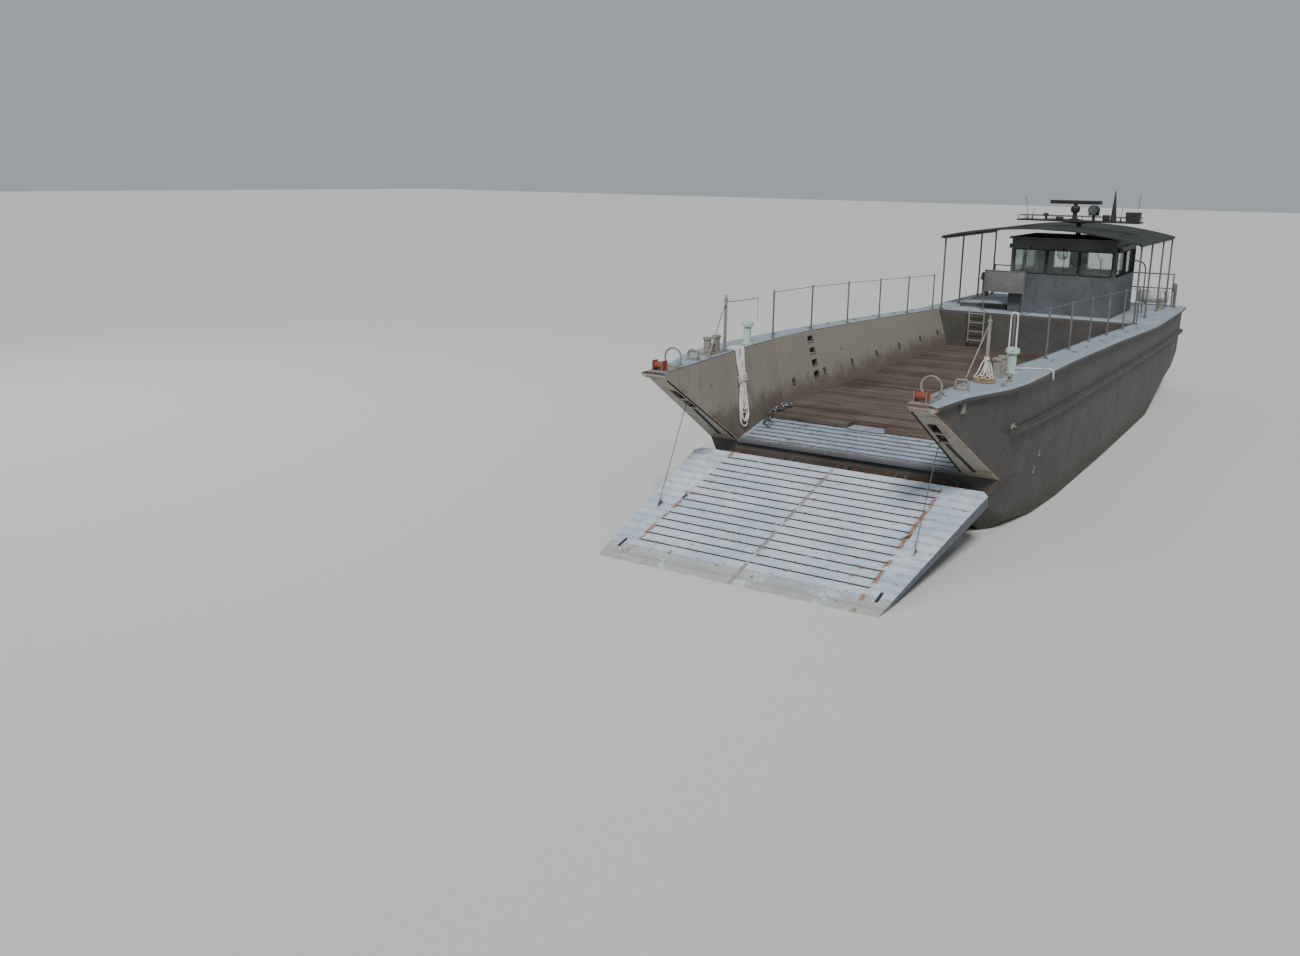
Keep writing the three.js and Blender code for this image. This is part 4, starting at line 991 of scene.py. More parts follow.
def rounded(centre: Point, across: Point, up: Point, half_width: float, half_height: float,
            corner: float) -> list[Vector]:
    """The outline of a rectangle with round corners.

    Args:
        centre: its middle.
        across: the direction of its width.
        up: the direction of its height.
        half_width: half its width.
        half_height: half its height.
        corner: the radius of its corners.

    Returns:
        Its points in order.
    """
    points = []
    for quarter in range(4):
        for step in range(4):
            angle = math.pi / 2 * (quarter + step / 3)
            side = (half_width - corner) * (1 if quarter in (0, 3) else -1) + corner * math.cos(angle)
            rise = (half_height - corner) * (1 if quarter in (0, 1) else -1) + corner * math.sin(angle)
            points.append(Vector(centre) + Vector(across) * side + Vector(up) * rise)
    return points


class Skin:
    """The surface of some CAD nodes, to lay pieces on."""

    def __init__(self, nodes: dict[str, bpy.types.Object], *starts: str) -> None:
        """Gathers the nodes whose names start so.

        Args:
            nodes: the CAD nodes by name.
            starts: the beginnings of the names.
        """
        gathered = bmesh.new()
        for name, node in nodes.items():
            if name.startswith(starts):
                copy = node.data.copy()
                copy.transform(node.matrix_world)
                gathered.from_mesh(copy)
                bpy.data.meshes.remove(copy)
        self.tree = BVHTree.FromBMesh(gathered)
        gathered.free()

    def hit(self, start: Point, way: Point) -> tuple[Vector, Vector]:
        """Where a straight line first meets the surface.

        Args:
            start: where the line starts.
            way: its direction.

        Returns:
            The place, and the way the surface faces there.
        """
        place, facing, _, _ = self.tree.ray_cast(Vector(start), Vector(way).normalized())
        if place is None:
            raise ValueError(f"no surface from {tuple(start)} towards {tuple(way)}")
        return place, facing

    def laid(self, starts: Iterable[Point], way: Point, off: float) -> list[Vector]:
        """The places where several lines meet the surface, each a little off it."""
        return [place + facing * off for place, facing in (self.hit(start, way) for start in starts)]


@dataclass
class ThreeStrand:
    """A three-strand laid rope along a path."""

    diameter: float
    sides: int = 12
    lay: float = 3.4  # one turn of its strands, in diameters

    def shape(self, points: Iterable[Point]) -> tuple[Shape, np.ndarray]:
        """Lays the rope along a smooth line through points.

        Args:
            points: the places it passes through.

        Returns:
            Its shape and its centreline.
        """
        line = smooth_path(points, self.diameter * 0.16)
        across, up = frames_along(line)
        run = np.concatenate([[0.0], np.cumsum(np.linalg.norm(np.diff(line, axis=0), axis=1))])
        angles = np.arange(self.sides) * 2 * math.pi / self.sides
        phase = 2 * math.pi * run[:, None] / (self.lay * self.diameter)
        radius = self.diameter / 2 * (0.9 + 0.1 * np.cos(3 * (angles[None, :] - phase)))
        rings = (line[:, None, :] + radius[:, :, None] * (np.cos(angles)[None, :, None] * across[:, None, :]
                                                          + np.sin(angles)[None, :, None] * up[:, None, :]))
        return Shape().loft(rings.tolist()), line


# Camera, floor and light


@dataclass
class PhotographView:
    """The camera where the photograph was taken from, for a frame of 1300 by 956 pixels."""

    place: tuple[float, float, float] = (7.9539, -27.163, 6.6126)
    yaw: float = -32.1577
    pitch: float = -12.8392
    roll: float = 0.8936
    focal_px: float = 1148.8343
    width_px: int = 1300
    below_middle_px: float = 45.0  # the frame's middle is this far under the lens's own

    def build(self) -> bpy.types.Object:
        """Makes the camera and gives it to the scene.

        Returns:
            The camera.
        """
        yaw, pitch, roll = (math.radians(a) for a in (self.yaw, self.pitch, self.roll))
        ahead = Vector((math.sin(yaw) * math.cos(pitch), math.cos(yaw) * math.cos(pitch), math.sin(pitch)))
        level = Vector((math.cos(yaw), -math.sin(yaw), 0.0))
        plumb = level.cross(ahead)
        right = level * math.cos(roll) + plumb * math.sin(roll)
        up = plumb * math.cos(roll) - level * math.sin(roll)
        lens = bpy.data.cameras.new("photograph_view")
        lens.sensor_width = 36.0
        lens.lens = 36.0 * self.focal_px / self.width_px
        lens.shift_y = -self.below_middle_px / self.width_px
        lens.clip_end = 1000.0
        camera = bpy.data.objects.new("photograph_view", lens)
        turned = Matrix((right, up, -ahead)).transposed().to_4x4()
        camera.matrix_world = Matrix.Translation(self.place) @ turned
        bpy.context.scene.collection.objects.link(camera)
        bpy.context.scene.camera = camera
        return camera


@dataclass
class Studio:
    """A plain pale floor at the waterline, and plain soft light."""

    floor_half: float = 240.0
    sky: str = "#d5dbe3"
    floor: str = "#c9c9c6"
    sun_from: tuple[float, float, float] = (10.0, -22.0, 24.0)
    sun_strength: float = 3.0
    sun_spread: float = 14.0

    def build(self) -> list[bpy.types.Object]:
        """Makes the floor, the lights and the pale surroundings.

        Returns:
            The floor and the lights.
        """
        shape = Shape()
        half = self.floor_half
        corners = [shape.bm.verts.new((x, y, WATERLINE_Z)) for x, y in
                   ((-half, -half), (half, -half), (half, half), (-half, half))]
        shape.bm.faces.new(corners)
        mesh = bpy.data.meshes.new("floor")
        shape.bm.to_mesh(mesh)
        plain = bpy.data.materials.new("plain_floor")
        plain.use_nodes = True
        plain.node_tree.nodes["Principled BSDF"].inputs["Base Color"].default_value = linear(self.floor)
        plain.node_tree.nodes["Principled BSDF"].inputs["Roughness"].default_value = 0.9
        mesh.materials.append(plain)
        floor = bpy.data.objects.new("floor", mesh)
        bpy.context.scene.collection.objects.link(floor)
        world = bpy.data.worlds.new("surroundings")
        world.use_nodes = True
        world.node_tree.nodes["Background"].inputs["Color"].default_value = linear(self.sky)
        world.node_tree.nodes["Background"].inputs["Strength"].default_value = 0.55
        bpy.context.scene.world = world
        lamps = [self.sun(), self.lamp("fill", (-24.0, -14.0, 16.0), 1500.0, 16.0)]
        return [floor, *lamps]

    def sun(self) -> bpy.types.Object:
        """Makes the soft main light, from ahead and a little to port.

        Returns:
            The light.
        """
        light = bpy.data.lights.new("key", "SUN")
        light.energy, light.angle = self.sun_strength, math.radians(self.sun_spread)
        sun = bpy.data.objects.new("key", light)
        sun.location = self.sun_from
        sun.rotation_euler = Vector(self.sun_from).to_track_quat("Z", "Y").to_euler()
        bpy.context.scene.collection.objects.link(sun)
        return sun

    def lamp(self, name: str, place: Point, watts: float, size: float) -> bpy.types.Object:
        """Makes a broad soft lamp that faces the craft.

        Args:
            name: its name.
            place: where it stands.
            watts: its power.
            size: the side of its square.

        Returns:
            The lamp.
        """
        light = bpy.data.lights.new(name, "AREA")
        light.energy, light.size = watts, size
        lamp = bpy.data.objects.new(name, light)
        lamp.location = place
        lamp.rotation_euler = (Vector((0.0, -2.0, 1.5)) - Vector(place)).to_track_quat("-Z", "Y").to_euler()
        bpy.context.scene.collection.objects.link(lamp)
        return lamp


# Ropes


@dataclass
class RopeHank:
    """White rope in a tied hank that hangs over the starboard horn's inner edge.

    Its runs lie in two layers. A place on it is given by its distance past the deck edge, which
    is negative on the deck, its distance off the steel, and its place along the craft.
    """

    palette: Palette
    diameter: float = 0.033
    middle_y: float = -7.515
    under_runs: tuple[float, ...] = (0.145, 0.109, 0.073)
    under_folds: tuple[float, ...] = (1.38, 1.29, 1.18)
    over_runs: tuple[float, ...] = (0.127, 0.09)
    over_folds: tuple[float, ...] = (1.32, 1.12)
    top_fold: float = -0.115
    bend: float = 0.066
    tie_at: float = 0.6
    tie_cord: float = 0.02
    tie_turns: int = 5

    def section(self, past: float, off: float) -> tuple[float, float]:
        """Where the rope's centre is in the horn's cross-section, with x outboard.

        Args:
            past: distance past the deck edge.
            off: distance off the steel.

        Returns:
            Its x and z.
        """
        edge = Vector((inner_top_x(-7.68) - 0.001, HORN_Z))
        down = (Vector((WELL_X - 0.024, 1.5)) - edge).normalized()
        inward, outboard, up = Vector((down.y, -down.x)), Vector((1.0, 0.0)), Vector((0.0, 1.0))
        turn = Vector((-1.0, 0.0)).angle(down)
        half_cos, reach = math.cos(turn / 2), self.bend * math.tan(turn / 2)
        raised = off * half_cos + self.bend * (1 - half_cos)
        centre = edge + (up + inward).normalized() * ((raised - self.bend) / half_cos)
        if abs(past) < reach:
            angle = turn * (past + reach) / (2 * reach)
            start, end = math.pi / 2, math.atan2(inward.y, inward.x) % (2 * math.pi)
            swept = start + (end - start) * angle / turn
            at = centre + self.bend * Vector((math.cos(swept), math.sin(swept)))
            return at.x, at.y
        beyond = abs(past) - reach
        lift = (off - raised) * (1 - math.exp(-(beyond / 0.12) ** 2))
        lift += self.tie_cord * 1.2 * math.exp(-((past - self.tie_at) / 0.3) ** 2)
        normal, way = (up, outboard) if past < 0 else (inward, down)
        at = centre + normal * (self.bend + lift) + way * beyond
        return at.x, at.y

    def place(self, past: float, off: float, side: float, tied: float) -> tuple[float, float, float]:
        """A place on the hank, drawn in towards its middle near the tie."""
        pull = math.exp(-((past - self.tie_at) / 0.38) ** 2)
        x, z = self.section(past, off)
        return (-x, self.middle_y + side + (tied - side) * pull, z)

    def route(self) -> list[tuple[float, float, float]]:
        """Every place the rope passes through, from one bare end to the other.

        Returns:
            The places.
        """
        off_under, off_over = self.diameter / 2 + 0.001, self.diameter * 1.5 + 0.001
        layers = [(a, fold, off_under, (2.5 - i) * self.diameter) for i, (a, fold) in
                  enumerate(zip(self.under_runs, self.under_folds))]
        layers += [(a, fold, off_over, (1.6 - i) * self.diameter) for i, (a, fold) in
                   enumerate(zip(self.over_runs, self.over_folds))]
        points = []
        for i, (side, fold, off, tied) in enumerate(layers):
            down = np.concatenate([np.arange(self.top_fold, -0.06, 0.03), np.linspace(-0.055, 0.055, 7),
                                   np.arange(0.1, fold - 0.02, 0.06)])
            points += [self.place(t, off, side, tied) for t in ([-0.19] if i == 0 else []) + down.tolist()]
            for angle in np.linspace(0, math.pi, 9):
                points.append(self.place(fold + side * math.sin(angle), off, side * math.cos(angle),
                                         tied * math.cos(angle)))
            points += [self.place(t, off, -side, -tied) for t in down[::-1]]
            if i + 1 < len(layers):
                after, _, next_off, _ = layers[i + 1]
                radius, middle = (side + after) / 2, (after - side) / 2
                for angle in np.linspace(0, math.pi, 9)[1:-1]:
                    share = min(1.0, 1.6 * angle / math.pi)
                    points.append(self.place(self.top_fold - radius * math.sin(angle),
                                             off + (next_off - off) * share,
                                             middle - radius * math.cos(angle), middle))
        points.append(self.place(-0.17, off_over, -self.over_runs[-1], 0.0))
        return points

    def tie(self) -> Shape:
        """The turns of rope round the hank.

        Returns:
            Their shape.
        """
        points, steps = [], self.tie_turns * 20
        for step in range(steps + 1):
            angle = 2 * math.pi * step / 20
            square = (abs(math.cos(angle)) ** 6 + abs(math.sin(angle)) ** 6) ** (-1 / 6)
            past = (self.tie_at + (step / steps - 0.5) * (self.tie_turns - 1) * 0.038
                    + 0.006 * math.sin(angle + 1.0))
            lift = self.tie_cord * 1.2 * math.exp(-((past - self.tie_at) / 0.3) ** 2)
            x, z = self.section(past, 0.0575 + 0.0455 * square * math.sin(angle) - lift)
            points.append((-x, self.middle_y + 0.112 * square * math.cos(angle), z))
        return ThreeStrand(self.tie_cord, 10).shape(points)[0]

    def build(self) -> list[bpy.types.Object]:
        """Makes the hank and its tie.

        Returns:
            Both pieces.
        """
        tie = self.tie().made("hank_tie", self.palette.white_rope, "white_rope")
        shape, line = ThreeStrand(self.diameter).shape(self.route())
        hank = shape.made("rope_hank", self.palette.white_rope, "white_rope")
        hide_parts("rope_hank_starboard")
        return [hank, tie]


@dataclass
class RopeCoil:
    """Tan rope in a flat coil on the port horn, four turns wide and four high."""

    palette: Palette
    centre: tuple[float, float] = (2.58, -8.108)
    diameter: float = 0.022
    inner: float = 0.111
    steps: int = 20  # points for each turn

    def route(self) -> list[tuple[float, float, float]]:
        """Every place the rope passes through, from the middle of the lowest layer.

        Returns:
            The places.
        """
        turns = [(ring if layer % 2 == 0 else 3 - ring, layer) for layer in range(4) for ring in range(4)]
        points = []
        for i, (ring, layer) in enumerate(turns):
            after = turns[min(i + 1, len(turns) - 1)]
            for step in range(self.steps):
                angle = 2 * math.pi * step / self.steps
                share = max(0.0, step / self.steps - 0.75) / 0.25
                share = share * share * (3 - 2 * share)
                radius = self.inner + self.diameter * (ring + (after[0] - ring) * share)
                radius += 0.0014 * math.sin(3 * angle + 2.1 * i)
                height = (layer + (after[1] - layer) * share + 0.5) * self.diameter + 0.001
                points.append((self.centre[0] + radius * math.cos(angle),
                               self.centre[1] + radius * math.sin(angle),
                               HORN_Z + height))
        return points

    def build(self) -> list[bpy.types.Object]:
        """Makes the coil.

        Returns:
            The piece.
        """
        shape, line = ThreeStrand(self.diameter, 10).shape(self.route())
        coil = shape.made("rope_coil", self.palette.tan_rope, "tan_rope")
        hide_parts("rope_coil_port")
        return [coil]


@dataclass
class RopeFan:
    """White line flaked out from its lashing on the port pole onto the coil.

    Each run goes between the pole and the far folds. A run's share says how far across the fan
    it lies, and its rise how far up in it.
    """

    palette: Palette
    diameter: float = 0.016
    sections: tuple[tuple[float, float, float, float, float], ...] = (
        (-8.27, 2.42, 2.76, 0.0928, 0.134), (-8.1, 2.425, 2.74, 0.0928, 0.176),
        (-7.975, 2.46, 2.65, 0.17, 0.33),
        (-7.882, 2.492, 2.552, 0.3, 0.42))
    near_ys: tuple[float, float] = (-7.961, -7.915)  # where the runs out and the runs back meet the pole
    far_y: float = -8.232
    fold: float = 0.034
    under_runs: int = 6
    easings: int = 4  # how many times each place is drawn towards its neighbours, which rounds the folds

    def place(self, y: float, share: float, rise: float) -> tuple[float, float, float]:
        """A place in the fan, by how far along, across and up it is.

        Args:
            y: its place along the craft.
            share: 0 at the fan's inboard side and 1 at its outboard one.
            rise: 0 at its underside and 1 at its top.

        Returns:
            The place.
        """
        rows = [list(column) for column in zip(*self.sections)]
        x0, x1, low, high = (float(np.interp(y, rows[0], column)) for column in rows[1:])
        edge = self.diameter * 0.55
        return (x0 + edge + (x1 - x0 - 2 * edge) * share, y,
                HORN_Z + low + edge + (high - low - 2 * edge) * rise)

    def route(self) -> list[Vector]:
        """Every place the line passes through, from its end near the pole.

        Returns:
            The places.
        """
        gaps = self.under_runs - 1
        spread = [(i / gaps, 0.0) for i in range(gaps + 1)] + [(1 - (i + 0.5) / gaps, 1.0)
                                                               for i in range(gaps)]
        runs = []
        for i, (share, level) in enumerate(spread):
            near_rise = level * 0.25 if i % 2 else 0.75 + level * 0.22
            run = []
            for y in np.linspace(self.near_ys[i % 2], self.far_y, 9):
                near = min(1.0, max(0.0, (y + 8.1) / 0.13))
                run.append(Vector(self.place(y, share, level + (near_rise - level) * near)))
            runs.append(run if i % 2 == 0 else run[::-1])
        points = [*runs[0]]
        for before, after in zip(runs, runs[1:]):
            start, end = before[-1], after[0]
            away = ((start - before[-2]).normalized() + (end - after[1]).normalized()).normalized()
            for angle in np.linspace(0, math.pi, 7)[1:-1]:
                points.append(start.lerp(end, (1 - math.cos(angle)) / 2) + away * self.fold * math.sin(angle))
            points += after
        for _ in range(self.easings):
            eased = [(a + b * 2 + c) * 0.25 for a, b, c in zip(points, points[1:], points[2:])]
            points = [points[0], *eased, points[-1]]
        return points

    def build(self) -> list[bpy.types.Object]:
        """Makes the line and its lashing on the pole.

        Returns:
            Both pieces.
        """
        shape, line = ThreeStrand(self.diameter, 10).shape(self.route())
        fan = shape.made("rope_fan", self.palette.white_rope, "white_rope")
        turns = []
        for step in np.linspace(0, 5, 5 * 20 + 1):
            angle = 2 * math.pi * step
            turns.append((2.522 + 0.0395 * math.cos(angle),
                          -7.85 + 0.0395 * math.sin(angle) - 0.012 * (1 - math.sin(angle)),
                          HORN_Z + 0.36 + 0.0125 * (step - 2.5)))
        lashing = ThreeStrand(0.012, 8).shape(turns)[0].made("fan_lashing", self.palette.white_rope,
                                                             "white_rope")
        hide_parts("rope_fan_port")
        return [fan, lashing]


@dataclass
class RopeOverPost:
    """White rope that comes up one side of a port rail post, over its top and down, and hangs outboard."""

    palette: Palette
    diameter: float = 0.030
    stations: tuple[tuple[float, float, float], ...] = (
        (2.521, -6.8, 0.0156), (2.524, -6.71, 0.0185), (2.525, -6.64, 0.024), (2.526, -6.575, 0.06),
        (2.527, -6.55, 0.14), (2.527, -6.55, 0.38), (2.527, -6.55, 0.7), (2.527, -6.55, 0.89),
        (2.532, -6.55, 0.968),
        (2.551, -6.55, 1.013), (2.587, -6.55, 1.025), (2.623, -6.55, 1.013), (2.642, -6.55, 0.968),
        (2.647, -6.55, 0.89), (2.647, -6.55, 0.7), (2.647, -6.55, 0.38), (2.647, -6.55, 0.14),
        (2.65, -6.526, 0.06),
        (2.66, -6.47, 0.024), (2.69, -6.4, 0.019), (2.75, -6.33, 0.019), (2.83, -6.28, 0.019),
        (2.92, -6.24, 0.019),
        (3.01, -6.205, 0.019), (3.09, -6.175, 0.019), (3.155, -6.15, 0.022), (3.208, -6.13, 0.012),
        (3.236, -6.118, -0.03), (3.238, -6.113, -0.09), (3.238, -6.11, -0.17))

    def build(self) -> list[bpy.types.Object]:
        """Makes the rope and the whipping on its end.

        Returns:
            Both pieces.
        """
        points = [(x, y, deck_z(y) + lift) for x, y, lift in self.stations]
        shape, line = ThreeStrand(self.diameter).shape(points)
        rope = shape.made("rope_over_post", self.palette.white_rope, "white_rope")
        end = Vector(points[-1])
        bands = [(0.0155, 0.0), (0.0175, 0.003)] + [(0.0172 + 0.0012 * (i % 2), 0.004 + 0.004 * i)
                                                    for i in range(12)]
        whipping = Shape().turned([*bands, (0.0155, 0.054)], end).made("rope_whipping", self.palette.tan_rope,
                                                                       "tan_rope")
        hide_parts("rope_on_post_port")
        return [rope, whipping]


# Canopy, planks and fittings


@dataclass
class CanvasCanopy:
    """One sheet of coated canvas over the canopy's bows, laced to the side rails."""

    palette: Palette
    half: float = 2.648
    front: float = 5.045
    aft: float = 10.355
    ridge: float = 5.284
    drop: float = 0.322
    thick: float = 0.004
    sag: float = 0.055
    bows: tuple[float, ...] = (5.095, 6.925, 8.755, 10.305)
    posts: tuple[float, ...] = (5.29, 6.925, 8.755, 10.305)
    mast: tuple[float, float, float] = (0.54, 7.3, 0.088)
    laced_every: float = 0.3795
    side_drop: float = 0.115
    end_drop: float = 0.05

    def top(self, x: float, y: float) -> float:
        """Height of the cloth over the bows, with its sag between them and its creases.

        Args:
            x: place abreast.
            y: place along the craft.

        Returns:
            Its height.
        """
        share = 0.0
        for start, end in zip(self.bows, self.bows[1:]):
            if start < y < end:
                share = math.sin(math.pi * (y - start) / (end - start)) ** 1.3
        slack = self.sag * share * (1 - (abs(x) / self.half) ** 4) * (0.8 + 0.2 * math.sin(2.1 * x + 0.7 * y))
        crease = 0.007 * math.exp(-(self.half - abs(x)) / 0.35) * math.cos(2 * math.pi * (y - self.front)
                                                                         / self.laced_every)
        return self.ridge - self.drop * (x / self.half) ** 2 - slack + crease * share

    def hang(self, y: float) -> float:
        """How far the side hangs down: least between two lacings."""
        share = ((y - self.front) / self.laced_every) % 1.0
        return self.side_drop * (1 - 0.62 * math.sin(math.pi * share) ** 0.8)

    def place(self, across: float, forward: float) -> Vector:
        """A place on the cloth, by its distances along it from the middle and from the front edge.

        Args:
            across: distance from the ridge, to port.
            forward: distance from the front fold, to aft.

        Returns:
            The place.
        """
        past_side = max(0.0, abs(across) - self.half)
        x = math.copysign(min(abs(across), self.half) + 0.012 * (1 - math.exp(-past_side / 0.012)), across)
        length = self.aft - self.front
        past_end = max(0.0, -forward, forward - length)
        y = self.front + min(length, max(0.0, forward))
        y += math.copysign(0.008 * (1 - math.exp(-past_end / 0.01)), forward - length / 2)
        down = past_side / self.side_drop * self.hang(y)
        ripple = (0.014 * math.sin(math.pi * ((y - self.front) / self.laced_every % 1.0)) ** 2
                  * min(1.0, down / 0.03))
        x += math.copysign(ripple if past_side else 0.0, across)
        fall = past_end * (1 + 0.25 * math.sin(4.4 * x) * math.sin(1.3 * x + 1.0))
        return Vector((x, y, self.top(max(-self.half, min(self.half, x)), y) - down - fall))

    def build(self) -> list[bpy.types.Object]:
        """Makes the sheet, its lacing and its eyelets.

        Returns:
            The pieces.
        """
        x, y, room = self.mast
        length = self.aft - self.front
        sides = [self.half + self.side_drop * s for s in (0.06, 0.15, 0.3, 0.5, 0.72, 0.88, 1.0)]
        across = np.unique(np.round([*np.linspace(-self.half, self.half, 61), x - room, x + room, *sides,
                                     *(-s for s in sides)], 4))
        ends = [self.end_drop * s for s in (0.1, 0.3, 0.65, 1.0)]
        along_it = np.unique(np.round([*np.linspace(0, length, 141), y - room - self.front,
                                       y + room - self.front,
                                       *(-e for e in ends), *(length + e for e in ends)], 4))
        shape = Shape()
        grid = [[shape.bm.verts.new(self.place(a, f)) for a in across] for f in along_it]
        for j in range(len(along_it) - 1):
            for i in range(len(across) - 1):
                middle = grid[j][i].co.lerp(grid[j + 1][i + 1].co, 0.5)
                if abs(middle.x - x) > room or abs(middle.y - y) > room:
                    shape.bm.faces.new((grid[j][i], grid[j][i + 1], grid[j + 1][i + 1], grid[j + 1][i]))
        loose = [v for v in shape.bm.verts if not v.link_faces]
        bmesh.ops.delete(shape.bm, geom=loose, context="VERTS")
        bmesh.ops.solidify(shape.bm, geom=shape.bm.faces[:], thickness=-self.thick)
        cloth = shape.made("canopy_sheet", self.palette.canvas, "canopy_cloth")
        lacing, eyelets = Shape(), Shape()
        for k in range(1, 14):
            at = self.front + k * self.laced_every
            if min(abs(at - post) for post in self.posts) < 0.06:
                continue
            for side in (-1, 1):
                eye = self.place(side * (self.half + self.side_drop * 0.8), at - self.front)
                outer = eye.x + side * 0.009
                loop = [(outer, at - 0.006, eye.z), (side * 2.64, at - 0.004, 4.876), (side * 2.6, at, 4.874),
                        (side * 2.581, at + 0.002, 4.905), (side * 2.6, at + 0.004, 4.936),
                        (side * 2.632, at + 0.005, 4.93), (eye.x - side * 0.009, at + 0.006, eye.z)]
                lacing.tube(smooth_path(loop, 0.012), 0.004, 6)
                eyelets.ring((eye.x, at, eye.z), (0, 1, 0), (0, 0, 1), 0.011, 0.004, 12, 6)
        cords = lacing.made("canopy_lacing", self.palette.tan_rope, "tan_rope")
        rings = eyelets.made("canopy_eyelets", self.palette.bronze, "canopy_cloth")
        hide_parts("canopy")
        return [cloth, cords, rings]


@dataclass
class PlankedDeck:
    """Hardwood planks across the cargo well, cut round the apron's tongue."""

    palette: Palette
    start: float = PLANKS_Y
    pitch: float = 0.2304
    count: int = 51
    widest: float = 2.285
    under: float = 1.7655
    top: float = PLANKS_Z - 0.0005
    tongue: tuple[float, float, float] = (-0.462, 0.302, -6.198)

    def build(self) -> list[bpy.types.Object]:
        """Makes the planks and their bolts.

        Returns:
            The pieces.
        """
        chance = random.Random(4)
        planks, heads = Shape(), []
        for row in range(self.count):
            y0, y1 = self.start + row * self.pitch + 0.006, self.start + (row + 1) * self.pitch - 0.002
            half = min(self.widest, wall_x(y0, self.top) - 0.008)
            joints = sorted(chance.sample((-1.4, -1.05, -0.7, 0.35, 0.7, 1.05, 1.4), 1 if row % 3 else 2))
            spans = [(a, b, y0) for a, b in zip([-half, *joints], [*joints, half])]
            left, right, behind = self.tongue
            if y0 < behind:
                spans = [(-half, left, y0), (right, half, y0)]
                spans += [(left, right, behind)] if behind < y1 else []
            for x0, x1, front in spans:
                wear = [chance.uniform(-0.0035, 0.0) for _ in range(4)]
                corners = [(x0 + 0.0015, front), (x1 - 0.0015, front), (x1 - 0.0015, y1), (x0 + 0.0015, y1)]
                before = set(planks.bm.edges)
                planks.loft([[(x, y, self.under) for x, y in corners],
                             [(x, y, self.top + w) for (x, y), w in zip(corners, wear)]])
                edges = [e for e in planks.bm.edges if e not in before]
                bmesh.ops.bevel(planks.bm, geom=edges, offset=chance.uniform(0.003, 0.006), segments=2,
                                profile=0.6,
                                affect="EDGES")
                heads += [(x, (front + y1) / 2 + d, self.top - 0.002) for x in (x0 + 0.07, x1 - 0.07)
                          for d in (-0.03, 0.03)]
        deck = planks.made("deck_planks", self.palette.timber, "deck_timber")
        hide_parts("well_timber_deck")
        bolts = Shape()
        for place in heads:
            bolts.turned([(0.013, -0.002), (0.013, 0.001), (0.008, 0.0028)], place, sides=8)
        return [deck, bolts.made("plank_bolts", self.palette.wire, "dark_fittings")]


@dataclass
class RampCables:
    """Wire ropes from the horns' sheaves to the ramp's lifting eyes, with their shackles."""

    palette: Palette
    abreast: float = 2.355
    sheave: tuple[float, float] = (-9.383, 2.6086)
    groove: float = 0.104
    eye: tuple[float, float] = (-10.4166, 0.8759)
    diameter: float = 0.016

    def build(self) -> list[bpy.types.Object]:
        """Makes a cable, a shackle and a thimble on each side.

        Returns:
            The pieces.
        """
        made = []
        for side, name in ((1, "port"), (-1, "starboard")):
            x = side * self.abreast
            wheel, eye = Vector((x, *self.sheave)), Vector((x, *self.eye))
            up = (wheel - eye).normalized()
            out = Vector((0.0, up.z, -up.y)) * -1
            leave = wheel + out * self.groove
            up = (leave - eye).normalized()
            wrap = [wheel + (Matrix.Rotation(math.radians(-a), 3, "X") @ out) * self.groove
                    for a in (70, 50, 30, 10)]
            line = [*wrap, leave, *(leave.lerp(eye, s) for s in (0.2, 0.4, 0.6, 0.8)), eye + up * 0.112]
            cable = ThreeStrand(self.diameter, 8, 5.0).shape(line)[0].made(
                f"ramp_cable_{name}", self.palette.wire, "grey_steel", body=None)
            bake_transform(cable)
            fitting = Shape().tube([eye + Vector((d, 0, 0)) for d in (-0.036, -0.03, 0.03, 0.036)], 0.0105,
                                   10)
            bow = [eye + Vector((-0.026, 0, 0)), eye + up * 0.03 + Vector((-0.027, 0, 0)),
                   eye + up * 0.06 + Vector((-0.02, 0, 0)), eye + up * 0.076,
                   eye + up * 0.06 + Vector((0.02, 0, 0)), eye + up * 0.03 + Vector((0.027, 0, 0)),
                   eye + Vector((0.026, 0, 0))]
            fitting.tube(smooth_path(bow, 0.008), 0.008, 8)
            normal = Vector((1, 0, 0)).cross(up)
            fitting.ring(eye + up * 0.0795, up, normal, 0.018, 0.006, 18, 8)
            fitting.turned([(0.010, 0.0), (0.014, 0.004), (0.014, 0.019), (0.010, 0.023)], eye + up * 0.1, up,
                           12)
            made += [cable, fitting.made(f"ramp_shackle_{name}", self.palette.zinc, "grey_steel", "ramp")]
        return made


